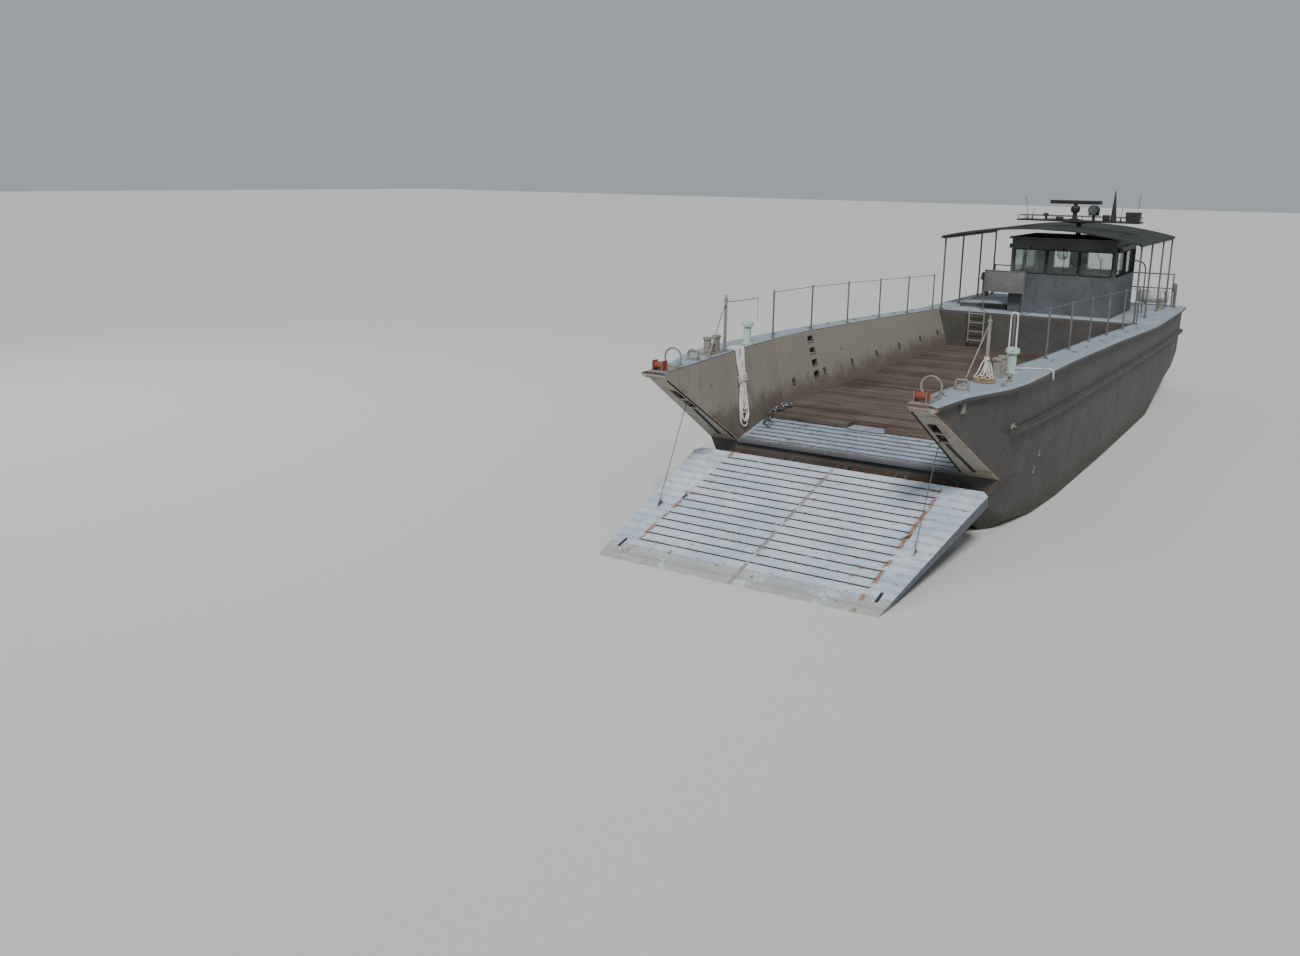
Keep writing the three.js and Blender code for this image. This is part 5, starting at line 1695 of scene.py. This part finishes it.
@dataclass
class HornFittings:
    """What is on the two bow horns: slot channels, dark sheets of painted shade in the slots, seals, cleats,
    signal arm and worn rims.
    """

    palette: Palette
    skin: Skin
    channel: tuple[tuple[float, float], tuple[float, float]] = ((2.5, 0.22), (2.37, 1.64))
    rim: float = 0.011

    def channels(self) -> Shape:
        """The flanges round the dark slots in the slanting faces."""
        shape = Shape()
        (x0, start), (x1, end) = self.channel
        corners = [on_horn(x, t, 0.004) for x, t in
                   ((x0 - 0.03, start), (x0 + 0.03, start), (x1 + 0.03, end), (x1 - 0.03, end))]
        for a, b in zip(corners, corners[1:] + corners[:1]):
            shape.tube([a, a.lerp(b, 0.5), b], 0.008, 6)
        return shape.mirrored()

    def slot_shade_and_seals(self) -> Shape:
        """Flat dark sheets in the slots of the slanting faces, painted shade where the openings are, and the
        rubber seal along each face's inner edge.
        """
        shape = Shape()
        (x0, start), (x1, end) = self.channel
        # A thin dark sheet on the face stands in for the shade inside each slot: painted shade, not a lining.
        shape.prism([on_horn(x, t, 0.0004)
                     for x, t in ((x0 - 0.024, start + 0.006), (x0 + 0.024, start + 0.006),
                                  (x1 + 0.024, end - 0.006), (x1 - 0.024, end - 0.006))],
                    on_horn(0, 0, 0.0012) - on_horn(0, 0))
        shape.tube([on_horn(x, t, 0.008) for t, x in ((0.1, 2.232), (1.1, 2.218), (2.1, 2.2), (3.1, 2.186))],
                   0.014, 8)
        return shape.mirrored()

    def rims(self) -> Shape:
        """The half-round bars along the inner deck edges."""
        places = np.linspace(-10.52, 5.1, 40)
        line = [(inner_top_x(y) + 0.006, y, deck_z(y) + 0.002) for y in places]
        return Shape().tube(line, self.rim, 8).mirrored()

    def cleats(self) -> Shape:
        """A horn cleat, a closed chock and two pad-eyes on each bow deck."""
        shape = Shape()
        base = Vector((2.9, -7.75, HORN_Z))
        shape.block(base + Vector((-0.04, -0.075, GAP)), base + Vector((0.04, 0.075, 0.012)), 0.003)
        for step in (-0.04, 0.04):
            shape.turned([(0.022, 0.012), (0.017, 0.04), (0.019, 0.075)], base + Vector((0, step, 0)),
                         sides=12)
        horn = [(0, -0.15, 0.098), (0, -0.09, 0.088), (0, 0, 0.082), (0, 0.09, 0.088), (0, 0.15, 0.098)]
        shape.tube([base + Vector(p) for p in horn], 0.018, 10)
        shape.block((2.37, -9.13, HORN_Z + GAP), (2.63, -9.03, HORN_Z + 0.014), 0.003)
        shape.tube(rounded((2.5, -9.08, HORN_Z + 0.094), (1, 0, 0), (0, 0, 1), 0.105, 0.074, 0.05), 0.024, 10,
                   wrap=True)
        for x, y in ((2.4, -9.72), (2.95, -8.3)):
            base = Vector((x, y, deck_z(y)))
            shape.block(base + Vector((-0.05, -0.05, GAP)), base + Vector((0.05, 0.05, 0.01)), 0.002)
            shape.ring(base + Vector((0, 0, 0.03)), (0, 1, 0), (0, 0, 1), 0.028, 0.009, 18, 8)
            shape.ring(base + Vector((0.02, 0, 0.052)), (1, 0, 0.25), (0, 1, 0), 0.042, 0.007, 22, 8)
        return shape.mirrored()

    def arms(self) -> Shape:
        """The thin arm from the starboard pole and its hanger, and a collar, a bolted foot and a top fitting
        on each pole.
        """
        shape = Shape()
        shape.tube([(-2.522, -7.82, 4.2), (-2.55, -7.3, 4.175), (-2.585, -6.7, 4.155), (-2.6, -6.34, 4.15)],
                   0.008)
        shape.tube([(-2.6, -6.34, 4.16), (-2.604, -6.345, 3.95), (-2.6, -6.35, 3.78)], 0.005)
        shape.ring((-2.6, -6.35, 3.755), (0, 1, 0), (0, 0, 1), 0.022, 0.005, 16, 6)
        for side in (-1, 1):
            foot = Vector((side * 2.522, -7.85, 0.0))
            shape.ring(foot + Vector((0, 0, 4.2)), (1, 0, 0), (0, 1, 0), 0.031, 0.008, 18, 6)
            shape.turned([(0.055, HORN_Z + GAP), (0.05, HORN_Z + 0.02), (0.033, HORN_Z + 0.03)], foot,
                         sides=18)
            shape.bolts([foot + Vector((0.043 * math.cos(a), 0.043 * math.sin(a), HORN_Z + 0.018))
                         for a in (0.8, 2.37, 3.94, 5.5)], (0, 0, 1), 0.006, 0.006)
            shape.tube([foot + Vector((0, 0, 4.32)), foot + Vector((0, 0, 4.345))], 0.012, 10)
        return shape

    def brackets(self) -> Shape:
        """End fittings of the lower rails, and bitts' caps."""
        shape = Shape()
        place, _ = self.skin.hit((5.0, -7.62, 2.42), (-1, 0, 0))
        shape.block(place + Vector((-0.01, -0.075, -0.09)), place + Vector((0.03, 0.075, 0.09)), 0.006)
        shape.bolts([place + Vector((0.03, dy, dz)) for dy in (-0.045, 0.045) for dz in (-0.06, 0.06)],
                    (1, 0, 0))
        shape.tube([place + Vector((0.03, 0, 0.03)), place + Vector((0.07, 0, 0.03))], 0.02, 12)
        place, _ = self.skin.hit((5.0, -9.45, 3.05), (-1, 0, 0))
        shape.block(place + Vector((-0.03, -0.09, -0.1)), place + Vector((0.022, 0.09, 0.07)), 0.006)
        shape.mirrored()
        for x, y in ((2.6, -7.33), (-2.6, -8.22)):
            for post in (y - 0.17, y + 0.17):
                shape.turned([(0.082, 0.3), (0.088, 0.306), (0.088, 0.324), (0.07, 0.332)], (x, post, HORN_Z),
                             sides=24)
            shape.tube([(x, y - 0.17, HORN_Z + 0.17), (x, y, HORN_Z + 0.17), (x, y + 0.17, HORN_Z + 0.17)],
                       0.024, 12)
        return shape

    def build(self) -> list[bpy.types.Object]:
        """Makes the horns' fittings.

        Returns:
            The pieces.
        """
        look = self.palette
        return [self.channels().made("horn_channels", look.gear, "hull_paint"),
                self.slot_shade_and_seals().made("horn_seals_and_slot_shade", look.rubber, "dark_fittings"),
                self.rims().made("deck_edge_bars", look.deck, "deck_paint"),
                self.cleats().made("bow_cleats", look.steel, "grey_steel"),
                self.arms().made("pole_fittings", look.zinc, "grey_steel"),
                self.brackets().made("bow_brackets", look.steel, "grey_steel")]


@dataclass
class PlateSeams:
    """Weld beads where the hull's plates meet, lashing rings, rungs and draft ticks."""

    palette: Palette
    skin: Skin
    plate: float = 1.52
    bead: float = 0.006

    def beads(self) -> Shape:
        """The weld beads inside the well and outside the hull."""
        shape = Shape()
        for y in np.arange(-9.4, 5.1, self.plate):
            low = floor_z(y) + 0.035 if y > SILL_Y else WELL_Z + (SILL_Y - y) * math.tan(HORN_SLOPE) + 0.05
            rows = [(0.0, y, z) for z in np.linspace(low, deck_z(y) - 0.03, 9)]
            shape.tube(self.skin.laid(rows, (1, 0, 0), -0.002), self.bead, 6)
        for y in np.arange(-6.4, 10.6, self.plate):
            for low, high in ((0.62, 2.04), (2.62, 2.74)):
                if not -5 < y < 7 and low < 1:
                    low = 1.35
                if high < 2.7 or y < 3:
                    rows = [(5.0, y, z) for z in np.linspace(low, high, 9)]
                    shape.tube(self.skin.laid(rows, (-1, 0, 0), -0.002), self.bead, 6)
        rows = [(5.0, y, 1.72) for y in np.arange(-7.3, 10.7, 0.4)]
        shape.tube(self.skin.laid(rows, (-1, 0, 0), -0.002), self.bead, 6)
        return shape.mirrored()

    def rings(self) -> Shape:
        """Lashing rings on the well's walls, with their lugs."""
        shape = Shape()
        for y in (-5.0, -3.3, -1.7, -0.1, 1.5, 3.1, 4.6):
            place, _ = self.skin.hit((0.0, y, 2.28), (1, 0, 0))
            out = -Vector((1, 0, 0))
            shape.block(place + Vector((-0.008, -0.05, -0.05)), place + Vector((0.02, 0.05, 0.06)), 0.003)
            shape.tube([place + Vector((-0.008, -0.028, 0.02)), place + out * 0.03 + Vector((0, -0.02, 0.02)),
                        place + out * 0.03 + Vector((0, 0.02, 0.02)), place + Vector((-0.008, 0.028, 0.02))],
                       0.007, 8)
            shape.ring(place + out * 0.024 + Vector((0, 0, -0.03)), (0, 1, 0), (0.12, 0, 1), 0.05, 0.0075, 24,
                       8)
        return shape.mirrored()

    def rungs(self) -> Shape:
        """Round-bar frames round the climbing slots."""
        shape = Shape()
        for step in range(4):
            middle = 2.25 + 0.255 * step
            place, _ = self.skin.hit((0.0, -3.9, middle), (1, 0, 0))
            lean = Vector((wall_x(-3.73, middle + 0.1) - wall_x(-3.73, middle), 0, 0.1)).normalized()
            centre = Vector((place.x - 0.003, -3.73, middle))
            shape.tube(rounded(centre, (0, 1, 0), lean, 0.135, 0.07, 0.03), 0.008, 6, wrap=True)
        return shape.mirrored()

    def ticks(self) -> Shape:
        """Plain draft ticks on both bows and quarters."""
        shape = Shape()
        for y, low, count in ((-5.78, 1.58, 3), (-5.9, 1.28, 3), (9.8, 1.1, 11)):
            for i in range(count):
                long = 0.03 if count == 3 else 0.045
                place, facing = self.skin.hit((5.0, y, low + (0.05 if count == 3 else 0.1) * i), (-1, 0, 0))
                level = Vector((0, 0, 1)).cross(facing).normalized()
                rise = facing.cross(level)
                corner = [place + level * a * long + rise * b * 0.008
                          for a, b in ((-1, -1), (1, -1), (1, 1), (-1, 1))]
                shape.prism(corner, facing * 0.0022)
        return shape.mirrored()

    def build(self) -> list[bpy.types.Object]:
        """Makes the seams, rings, rungs and ticks.

        Returns:
            The pieces.
        """
        look = self.palette
        return [self.beads().made("weld_beads", look.hull, "hull_paint", sharp=70.0),
                self.rings().made("lashing_rings", look.wire, "grey_steel"),
                self.rungs().made("climbing_rims", look.gear, "grey_steel"),
                self.ticks().made("draft_ticks", look.tick, "hull_paint")]


@dataclass
class ChainHeap:
    """Lashing chain that lies along the starboard wall's foot."""

    palette: Palette
    bar: float = 0.0115
    straight: float = 0.036
    bend: float = 0.03

    def link(self, shape: Shape, centre: Vector, way: Vector, flat: Vector) -> None:
        """Adds one link.

        Args:
            shape: what it is added to.
            centre: its middle.
            way: the direction of its length.
            flat: the direction of its width.
        """
        points = []
        for half in (0, 1):
            for step in range(6):
                angle = math.pi * (step / 5 - 0.5) + math.pi * half
                points.append(centre + way * (self.bend * math.cos(angle) + self.straight * (1 - 2 * half))
                              + flat * self.bend * math.sin(angle))
        shape.tube(points, self.bar, 6, wrap=True)

    def build(self) -> list[bpy.types.Object]:
        """Makes the chain, laid in two wandering lengths.

        Returns:
            The piece.
        """
        ways = ([(-1.9, -7.05, 0), (-2.05, -6.95, 0), (-2.12, -6.75, 0), (-2.04, -6.5, 0), (-2.14, -6.3, 0),
                 (-2.08, -6.05, 0), (-2.12, -5.8, 0), (-2.0, -5.6, 0)],
                [(-1.98, -6.8, 0), (-2.08, -6.66, 0), (-2.11, -6.42, 0), (-2.02, -6.2, 0), (-2.13, -6.0, 0),
                 (-2.02, -5.85, 0), (-2.06, -5.7, 0)])
        shape = Shape()
        for level, points in enumerate(ways):
            line = smooth_path(points, 2 * self.straight + 2 * self.bend - 2 * self.bar - 0.003)
            for i, (at, after) in enumerate(zip(line, line[1:])):
                way = Vector(after - at).normalized()
                side = Vector((-way.y, way.x, 0.0))
                lean = math.radians(14 if i % 2 == 0 else 76)
                flat = side * math.cos(lean) + Vector((0, 0, 1)) * math.sin(lean)
                floor = max(floor_z(at[1]), floor_z(at[1] + 0.07)) + 0.001
                height = floor + self.bar + self.bend * math.sin(lean) + level * 0.045 * (1 if i > 1 else 0)
                self.link(shape, Vector((at[0], at[1], height)) + way * 0.02, way, flat)
        return [shape.made("lashing_chain", self.palette.zinc, "grey_steel")]


@dataclass
class HouseFittings:
    """What is on the pilothouse: window seals, wipers, rails, lights and the dodger panel."""

    palette: Palette
    panes_front: tuple[float, ...] = (-0.38, 0.5, 1.38)
    sill: float = 4.0
    head: float = 4.64

    def seals(self) -> Shape:
        """Rubber round every window opening."""
        shape = Shape()
        middle, half = (self.sill + self.head) / 2, (self.head - self.sill) / 2 + 0.006
        for x in self.panes_front:
            shape.tube(rounded((x, 5.897, middle), (1, 0, 0), (0, 0, 1), 0.426, half, 0.05), 0.013, 8,
                       wrap=True)
        for low, high in ((6.08, 7.15), (7.30, 8.52)):
            for x in (-0.903, 1.903):
                shape.tube(rounded((x, (low + high) / 2, middle), (0, 1, 0), (0, 0, 1),
                                   (high - low) / 2 + 0.006, half, 0.05), 0.013, 8, wrap=True)
        shape.tube(rounded((1.125, 8.703, middle), (1, 0, 0), (0, 0, 1), 0.531, half, 0.05), 0.013, 8,
                   wrap=True)
        return shape

    def wipers(self) -> Shape:
        """A wiper on each front window."""
        shape = Shape()
        for i, x in enumerate(self.panes_front):
            lean = (-0.16, 0.05, 0.14)[i]
            shape.turned([(0.022, 0.0), (0.022, 0.03), (0.012, 0.042)], (x, 5.8997, 4.70), (0, -1, 0), 12)
            tip = Vector((x + lean, 5.872, 4.33))
            shape.tube([(x, 5.868, 4.70), (x + lean * 0.5, 5.862, 4.52), tip], 0.006, 8)
            shape.block(tip + Vector((-0.007, -0.004, -0.2)), tip + Vector((0.007, 0.016, 0.17)), 0.003)
        return shape

    def rails(self) -> Shape:
        """Grab rails, gutters and the bent rail on the port side."""
        shape = Shape()
        for x, side in ((1.9, 1), (-0.9, -1)):
            out = x + side * 0.055
            shape.tube([(x, 6.1, 4.80), (out - side * 0.012, 6.105, 4.80), (out, 6.15, 4.80),
                        (out, 7.3, 4.80),
                        (out, 8.45, 4.80), (out - side * 0.012, 8.495, 4.80), (x, 8.5, 4.80)], 0.013, 10)
            shape.tube([(x, 7.3, 4.80), (out, 7.3, 4.80)], 0.009, 8)
            shape.tube([(x + side * 0.008, 5.92, 4.905), (x + side * 0.008, 7.3, 4.912),
                        (x + side * 0.008, 8.68, 4.905)],
                       0.014, 8)
        shape.tube([(-0.88, 5.892, 4.905), (0.5, 5.892, 4.912), (1.88, 5.892, 4.905)], 0.014, 8)
        shape.tube(smooth_path([(2.32, 8.05, 2.885), (2.32, 8.05, 3.4), (2.32, 8.05, 3.95), (2.3, 8.05, 4.18),
                                (2.22, 8.05, 4.3), (2.08, 8.05, 4.335), (1.9, 8.05, 4.34)], 0.05), 0.019, 10)
        shape.turned([(0.05, 2.8805), (0.048, 2.892), (0.02, 2.9)], (2.32, 8.05, 0), sides=16)
        shape.bolts([(-0.86 + 0.227 * i, 5.9 - GAP, 2.95) for i in range(13)], (0, -1, 0), 0.011, 0.008)
        return shape

    def dodger(self) -> Shape:
        """The upright panel at the front of the after deck, starboard of the house."""
        shape = Shape()
        shape.block((-1.5, 5.602, 3.44), (-0.4, 5.61, 4.04), 0.003)
        for z in (3.44, 4.03):
            shape.tube([(-1.5, 5.6, z), (-0.95, 5.6, z), (-0.4, 5.6, z)], 0.014, 8)
        for x in (-1.5, -0.4):
            shape.tube([(x, 5.6, STERN_DECK_Z + 0.0005), (x, 5.6, 3.5), (x, 5.6, 4.05)], 0.018, 10)
            shape.turned([(0.05, 2.8803), (0.048, 2.892), (0.02, 2.9)], (x, 5.6, 0), sides=16)
        for x in (-1.13, -0.77):
            shape.tube([(x, 5.613, 3.45), (x, 5.613, 3.74), (x, 5.613, 4.03)], 0.008, 6)
        shape.bolts([(-1.46 + 0.17 * i, 5.6015, z) for i in range(7) for z in (3.5, 3.98)], (0, -1, 0), 0.008,
                    0.005)
        return shape

    def lights(self) -> list[bpy.types.Object]:
        """Side lights in their screens, and a round lamp by the door.

        Returns:
            The pieces.
        """
        screens, lenses = Shape(), {1: Shape(), -1: Shape()}
        for x, side in ((1.9, 1), (-0.9, -1)):
            low, high = sorted((x + side * 0.0003, x + side * 0.02))
            screens.block((low, 5.93, 4.67), (high, 6.07, 4.775), 0.004)
            low, high = sorted((x + side * 0.0003, x + side * 0.115))
            screens.block((low, 6.055, 4.67), (high, 6.07, 4.775), 0.003)
            screens.block((low, 5.95, 4.664), (high, 6.07, 4.674), 0.003)
            screens.turned([(0.036, 0.0), (0.036, 0.008), (0.026, 0.014)], (x + side * 0.065, 6.01, 4.754),
                           sides=20)
            lenses[side].turned([(0.031, 0.0), (0.034, 0.01), (0.034, 0.068), (0.031, 0.078)],
                                (x + side * 0.065, 6.01, 4.675), sides=20)
        screens.turned([(0.075, 0.0), (0.075, 0.02), (0.06, 0.03)], (0.4, 8.7005, 4.2), (0, 1, 0), 24)
        lamp = Shape().turned([(0.055, 0.03), (0.05, 0.055), (0.03, 0.072), (0.0, 0.078)], (0.4, 8.7005, 4.2),
                              (0, 1, 0), 24)
        look = self.palette
        return [screens.made("light_screens", look.black, "dark_fittings"),
                lenses[1].made("side_light_port", look.red_lens, "dark_fittings"),
                lenses[-1].made("side_light_starboard", look.green_lens, "dark_fittings"),
                lamp.made("door_lamp_glass", look.glass, "window_glass")]

    def door(self) -> list[bpy.types.Object]:
        """The door's kick plate with its bolts, and its round window.

        Returns:
            The pieces.
        """
        shape = Shape().block((-0.48, 8.7456, 3.03), (0.18, 8.748, 3.3), 0.001)
        shape.bolts([(x, 8.748, z) for x in (-0.45, -0.15, 0.15) for z in (3.06, 3.27)], (0, 1, 0), 0.007,
                    0.004)
        shape.ring((-0.15, 8.747, 4.38), (1, 0, 0), (0, 0, 1), 0.15, 0.013, 32, 8)
        pane = Shape().turned([(0.146, 0.0), (0.146, 0.004), (0.14, 0.006)], (-0.15, 8.7458, 4.38), (0, 1, 0),
                              32)
        return [shape.made("door_fittings", self.palette.black, "dark_fittings", "door"),
                pane.made("door_pane", self.palette.glass, "window_glass", "door")]

    def build(self) -> list[bpy.types.Object]:
        """Makes the pilothouse's fittings.

        Returns:
            The pieces.
        """
        look = self.palette
        return [self.seals().made("window_seals", look.rubber, "dark_fittings"),
                self.wipers().made("window_wipers", look.black, "dark_fittings"),
                self.rails().made("house_rails", look.pipe, "house_paint"),
                self.dodger().made("dodger_panel", look.pipe, "house_paint"), *self.lights(), *self.door()]


@dataclass
class MastFittings:
    """What is on the mast's platform: its rail, whips, dome, lamps and cables."""

    palette: Palette
    floor: float = 5.44
    light_x: float = 0.92  # middle of the searchlight
    light_z: float = 5.73

    def build(self) -> list[bpy.types.Object]:
        """Makes the platform's fittings.

        Returns:
            The pieces.
        """
        look, top, x_light, z_light = self.palette, self.floor, self.light_x, self.light_z
        rail = Shape()
        rail.tube(rounded((0.54, 7.3, top + 0.11), (1, 0, 0), (0, 1, 0), 1.62, 0.355, 0.05), 0.009, 8,
                  wrap=True)
        for x in (-1.06, -0.27, 0.54, 1.33, 2.14):
            for y in (6.947, 7.653):
                rail.tube([(x, y, top + GAP), (x, y, top + 0.06), (x, y, top + 0.108)], 0.009, 8)
        small = Shape()
        for x, y, high, lean in ((-0.95, 7.5, 0.62, -0.1), (-0.72, 7.1, 0.3, 0.05), (1.68, 7.12, 0.42, 0.03),
                                 (2.02, 7.58, 0.72, 0.04)):
            small.turned([(0.032, 0.0), (0.03, 0.03), (0.018, 0.05), (0.016, 0.1)], (x, y, top + GAP),
                         sides=14)
            small.tube([(x, y, top + 0.09), (x + lean * 0.4, y, top + high * 0.55),
                        (x + lean, y, top + high)], 0.007, 8)
        small.turned([(0.03, 0.0), (0.028, 0.09), (0.075, 0.1), (0.085, 0.125), (0.07, 0.16), (0.03, 0.178),
                      (0.0, 0.182)], (-0.42, 7.42, top + GAP), sides=24)
        small.block((1.12, 7.5, top + GAP), (1.3, 7.62, top + 0.16), 0.012)
        small.block((-0.06, 7.05, top + GAP), (0.14, 7.16, top + 0.09), 0.01)
        for dx, dy in ((0.068, 0.0), (0.0, 0.069), (-0.048, 0.048)):
            small.tube([(0.54 + dx, 7.3 + dy, 5.02), (0.54 + dx, 7.3 + dy, 5.2),
                        (0.54 + dx, 7.3 + dy, 5.395)], 0.0085, 8)
        small.tube(smooth_path([(0.62, 7.42, top + 0.012), (0.5, 7.52, top + 0.012), (0.1, 7.55, top + 0.012),
                                (-0.3, 7.5, top + 0.012), (-0.42, 7.44, top + 0.02)], 0.05), 0.008, 8)
        lamp = Shape().ring((x_light, 7.147, z_light), (1, 0, 0), (0, 0, 1), 0.128, 0.011, 32, 8)
        for z in (-0.05, 0.0, 0.05):
            half = math.sqrt(0.12 ** 2 - z * z)
            lamp.tube([(x_light - half, 7.143, z_light + z), (x_light, 7.14, z_light + z),
                       (x_light + half, 7.143, z_light + z)], 0.003, 6)
        lamp.bolts([(x_light + side * 0.1405, 7.3, 5.68) for side in (-1, 1)], (1, 0, 0), 0.02, 0.012)
        lens = Shape().turned([(0.118, 0.0), (0.118, 0.002), (0.06, 0.008), (0.0, 0.01)],
                              (x_light, 7.1497, z_light), (0, -1, 0), 32)
        band = Shape().block((-0.24, 7.2355, 5.905), (1.06, 7.2395, 5.97), 0.001)
        return [rail.made("platform_rail", look.black, "dark_fittings"),
                small.made("platform_aerials", look.black, "dark_fittings"),
                lamp.made("searchlight_guard", look.black, "dark_fittings"),
                lens.made("searchlight_lens", look.glass, "window_glass"),
                band.made("scanner_window", look.rubber, "dark_fittings", "scanner")]


@dataclass
class SternFittings:
    """What is on the after deck and the transom."""

    palette: Palette
    skin: Skin
    deck: float = STERN_DECK_Z
    raft_y: float = 10.55  # middle of the life raft
    raft_z: float = 3.135

    def canister(self) -> tuple[Shape, Shape]:
        """A life raft in its canister, and the cradle that holds it.

        Returns:
            The canister and the cradle.
        """
        at = Vector((1.78, self.raft_y, self.raft_z))
        shell = Shape().turned([(0.1, 0.0), (0.17, 0.012), (0.193, 0.05), (0.195, 0.12), (0.195, 0.41),
                                (0.203, 0.415),
                                (0.203, 0.445), (0.195, 0.45), (0.195, 0.74), (0.193, 0.81), (0.17, 0.848),
                                (0.1, 0.86)],
                               at, (1, 0, 0), 36)
        cradle = Shape()
        for x in (1.98, 2.44):
            arc = [(x, self.raft_y + 0.208 * math.sin(a), self.raft_z - 0.208 * math.cos(a))
                   for a in np.linspace(-1.25, 1.25, 9)]
            cradle.tube(arc, 0.011, 8)
            for side in (-1, 1):
                cradle.tube([(x, self.raft_y + side * 0.1, 2.949),
                             (x, self.raft_y + side * 0.13, self.deck + GAP)], 0.016, 8)
            strap = [(x, self.raft_y + 0.2 * math.sin(a), self.raft_z - 0.2 * math.cos(a))
                     for a in np.linspace(1.2, 5.08, 14)]
            cradle.tube(strap, 0.007, 6)
        return shell, cradle

    def covers(self) -> Shape:
        """Manhole covers, filler caps and pad-eyes on the decks.

        Returns:
            Their shape.
        """
        shape = Shape()
        for x, y in ((-1.5, 9.55), (1.25, 9.5), (-2.72, 5.75)):
            shape.turned([(0.27, GAP), (0.27, 0.012), (0.262, 0.018), (0.05, 0.02), (0.0, 0.02)],
                         (x, y, self.deck), sides=36)
            shape.bolts([(x + 0.235 * math.cos(a), y + 0.235 * math.sin(a), self.deck + 0.018)
                         for a in np.arange(0, 6.2, math.pi / 6)], (0, 0, 1), 0.011, 0.009)
            for side in (-1, 1):
                shape.tube([(x + side * 0.12, y - 0.05, self.deck + 0.018),
                            (x + side * 0.12, y - 0.035, self.deck + 0.05),
                            (x + side * 0.12, y + 0.035, self.deck + 0.05),
                            (x + side * 0.12, y + 0.05, self.deck + 0.018)],
                           0.007, 8)
        for y in (-3.1, -0.4, 2.4):
            for side in (-1, 1):
                base = Vector((side * 2.94, y, deck_z(y)))
                shape.turned([(0.06, GAP), (0.06, 0.014), (0.045, 0.018), (0.042, 0.03), (0.036, 0.034),
                              (0.0, 0.034)],
                             base, sides=24)
        for y in (-4.9, -2.0, 0.9, 3.8):
            for side in (-1, 1):
                base = Vector((side * (inner_top_x(y) + 0.3), y, deck_z(y)))
                shape.block(base + Vector((-0.04, -0.05, -0.004)), base + Vector((0.04, 0.05, 0.01)), 0.002)
                shape.ring(base + Vector((0, 0, 0.026)), (0, 1, 0), (0, 0, 1), 0.024, 0.008, 16, 8)
        return shape

    def outlets(self) -> Shape:
        """Exhaust outlets on the transom, and the gooseneck vents.

        Returns:
            Their shape.
        """
        shape = Shape()
        for side in (-1, 1):
            place, _ = self.skin.hit((side * 1.25, 14.0, 1.35), (0, -1, 0))
            shape.turned([(0.15, -0.01), (0.15, 0.012), (0.105, 0.014), (0.1, 0.07), (0.085, 0.07),
                          (0.085, 0.02), (0.0, 0.018)], place, (0, 1, 0), 32)
            shape.bolts([place + Vector((0.127 * math.cos(a), 0.012, 0.127 * math.sin(a)))
                         for a in np.arange(0, 6.2, math.pi / 4)], (0, 1, 0), 0.011, 0.009)
            neck = [(side * 2.86, 10.2, self.deck), (side * 2.86, 10.2, 3.2), (side * 2.86, 10.2, 3.42),
                    (side * 2.86, 10.17, 3.53), (side * 2.86, 10.09, 3.57), (side * 2.86, 10.02, 3.53),
                    (side * 2.86, 10.0, 3.45), (side * 2.86, 10.0, 3.4)]
            shape.tube(smooth_path(neck, 0.03), 0.045, 14)
            shape.turned([(0.085, GAP), (0.085, 0.014), (0.05, 0.02)], (side * 2.86, 10.2, self.deck),
                         sides=24)
            shape.turned([(0.055, 0.0), (0.06, 0.012), (0.06, 0.05), (0.048, 0.06)],
                         (side * 2.86, 10.0, 3.37), sides=24)
        return shape

    def hatch(self) -> Shape:
        """Dogs and stiffeners on the engine hatch's lid."""
        shape, top = Shape(), 3.0153
        for x in (-2.28, -1.17):
            for y in (6.5, 7.4, 8.3):
                shape.turned([(0.035, GAP), (0.033, 0.014), (0.016, 0.018), (0.014, 0.03)], (x, y, top),
                             sides=16)
                shape.tube([(x - 0.05, y, top + 0.032), (x, y, top + 0.034), (x + 0.05, y, top + 0.032)],
                           0.008, 8)
        shape.tube(rounded((-1.725, 7.4, top + 0.001), (1, 0, 0), (0, 1, 0), 0.62, 1.04, 0.06), 0.006, 6,
                   wrap=True)
        return shape

    def anodes(self) -> Shape:
        """Zinc anodes bolted to the skegs and the stern's bottom."""
        shape = Shape()
        for side in (-1, 1):
            for y in (7.0, 8.0):
                for face in (-1, 1):
                    place, _ = self.skin.hit((side * 1.25 + face * 0.8, y, 0.32), (-face, 0, 0))
                    shape.block(place + Vector((-0.02, -0.15, -0.04)), place + Vector((0.02, 0.15, 0.04)),
                                0.014)
        return shape

    def build(self) -> list[bpy.types.Object]:
        """Makes the stern's fittings.

        Returns:
            The pieces.
        """
        look = self.palette
        shell, cradle = self.canister()
        return [shell.made("raft_canister", look.gelcoat, "vent_paint"),
                cradle.made("raft_cradle", look.zinc, "grey_steel"),
                self.covers().made("deck_covers", look.deck, "deck_paint"),
                self.outlets().made("stern_outlets", look.pipe, "grey_steel"),
                self.hatch().made("hatch_dogs", look.steel, "deck_paint", "hatch"),
                self.anodes().made("zinc_anodes", look.zinc, "grey_steel")]


def main() -> None:
    """Builds the looks of the craft, piece by piece."""
    logging.basicConfig(level=logging.INFO, format="%(name)s: %(message)s")
    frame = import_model()
    PhotographView().build()
    palette = Palette()
    LOG.info("dressed %d CAD nodes", palette.dress(frame["nodes"]))
    steel = Skin(frame["nodes"], "hull_", "skeg")
    assemblies = (RopeHank(palette), RopeCoil(palette), RopeFan(palette), RopeOverPost(palette),
                  CanvasCanopy(palette), PlankedDeck(palette), RampCables(palette),
                  HornFittings(palette, steel),
                  PlateSeams(palette, steel), ChainHeap(palette), HouseFittings(palette),
                  MastFittings(palette),
                  SternFittings(palette, steel))
    for assembly in assemblies:
        for piece in assembly.build():
            LOG.info("%s: %s, %d faces", type(assembly).__name__, piece.name, len(piece.data.polygons))
    Studio().build()


if __name__ == "__main__":
    main()
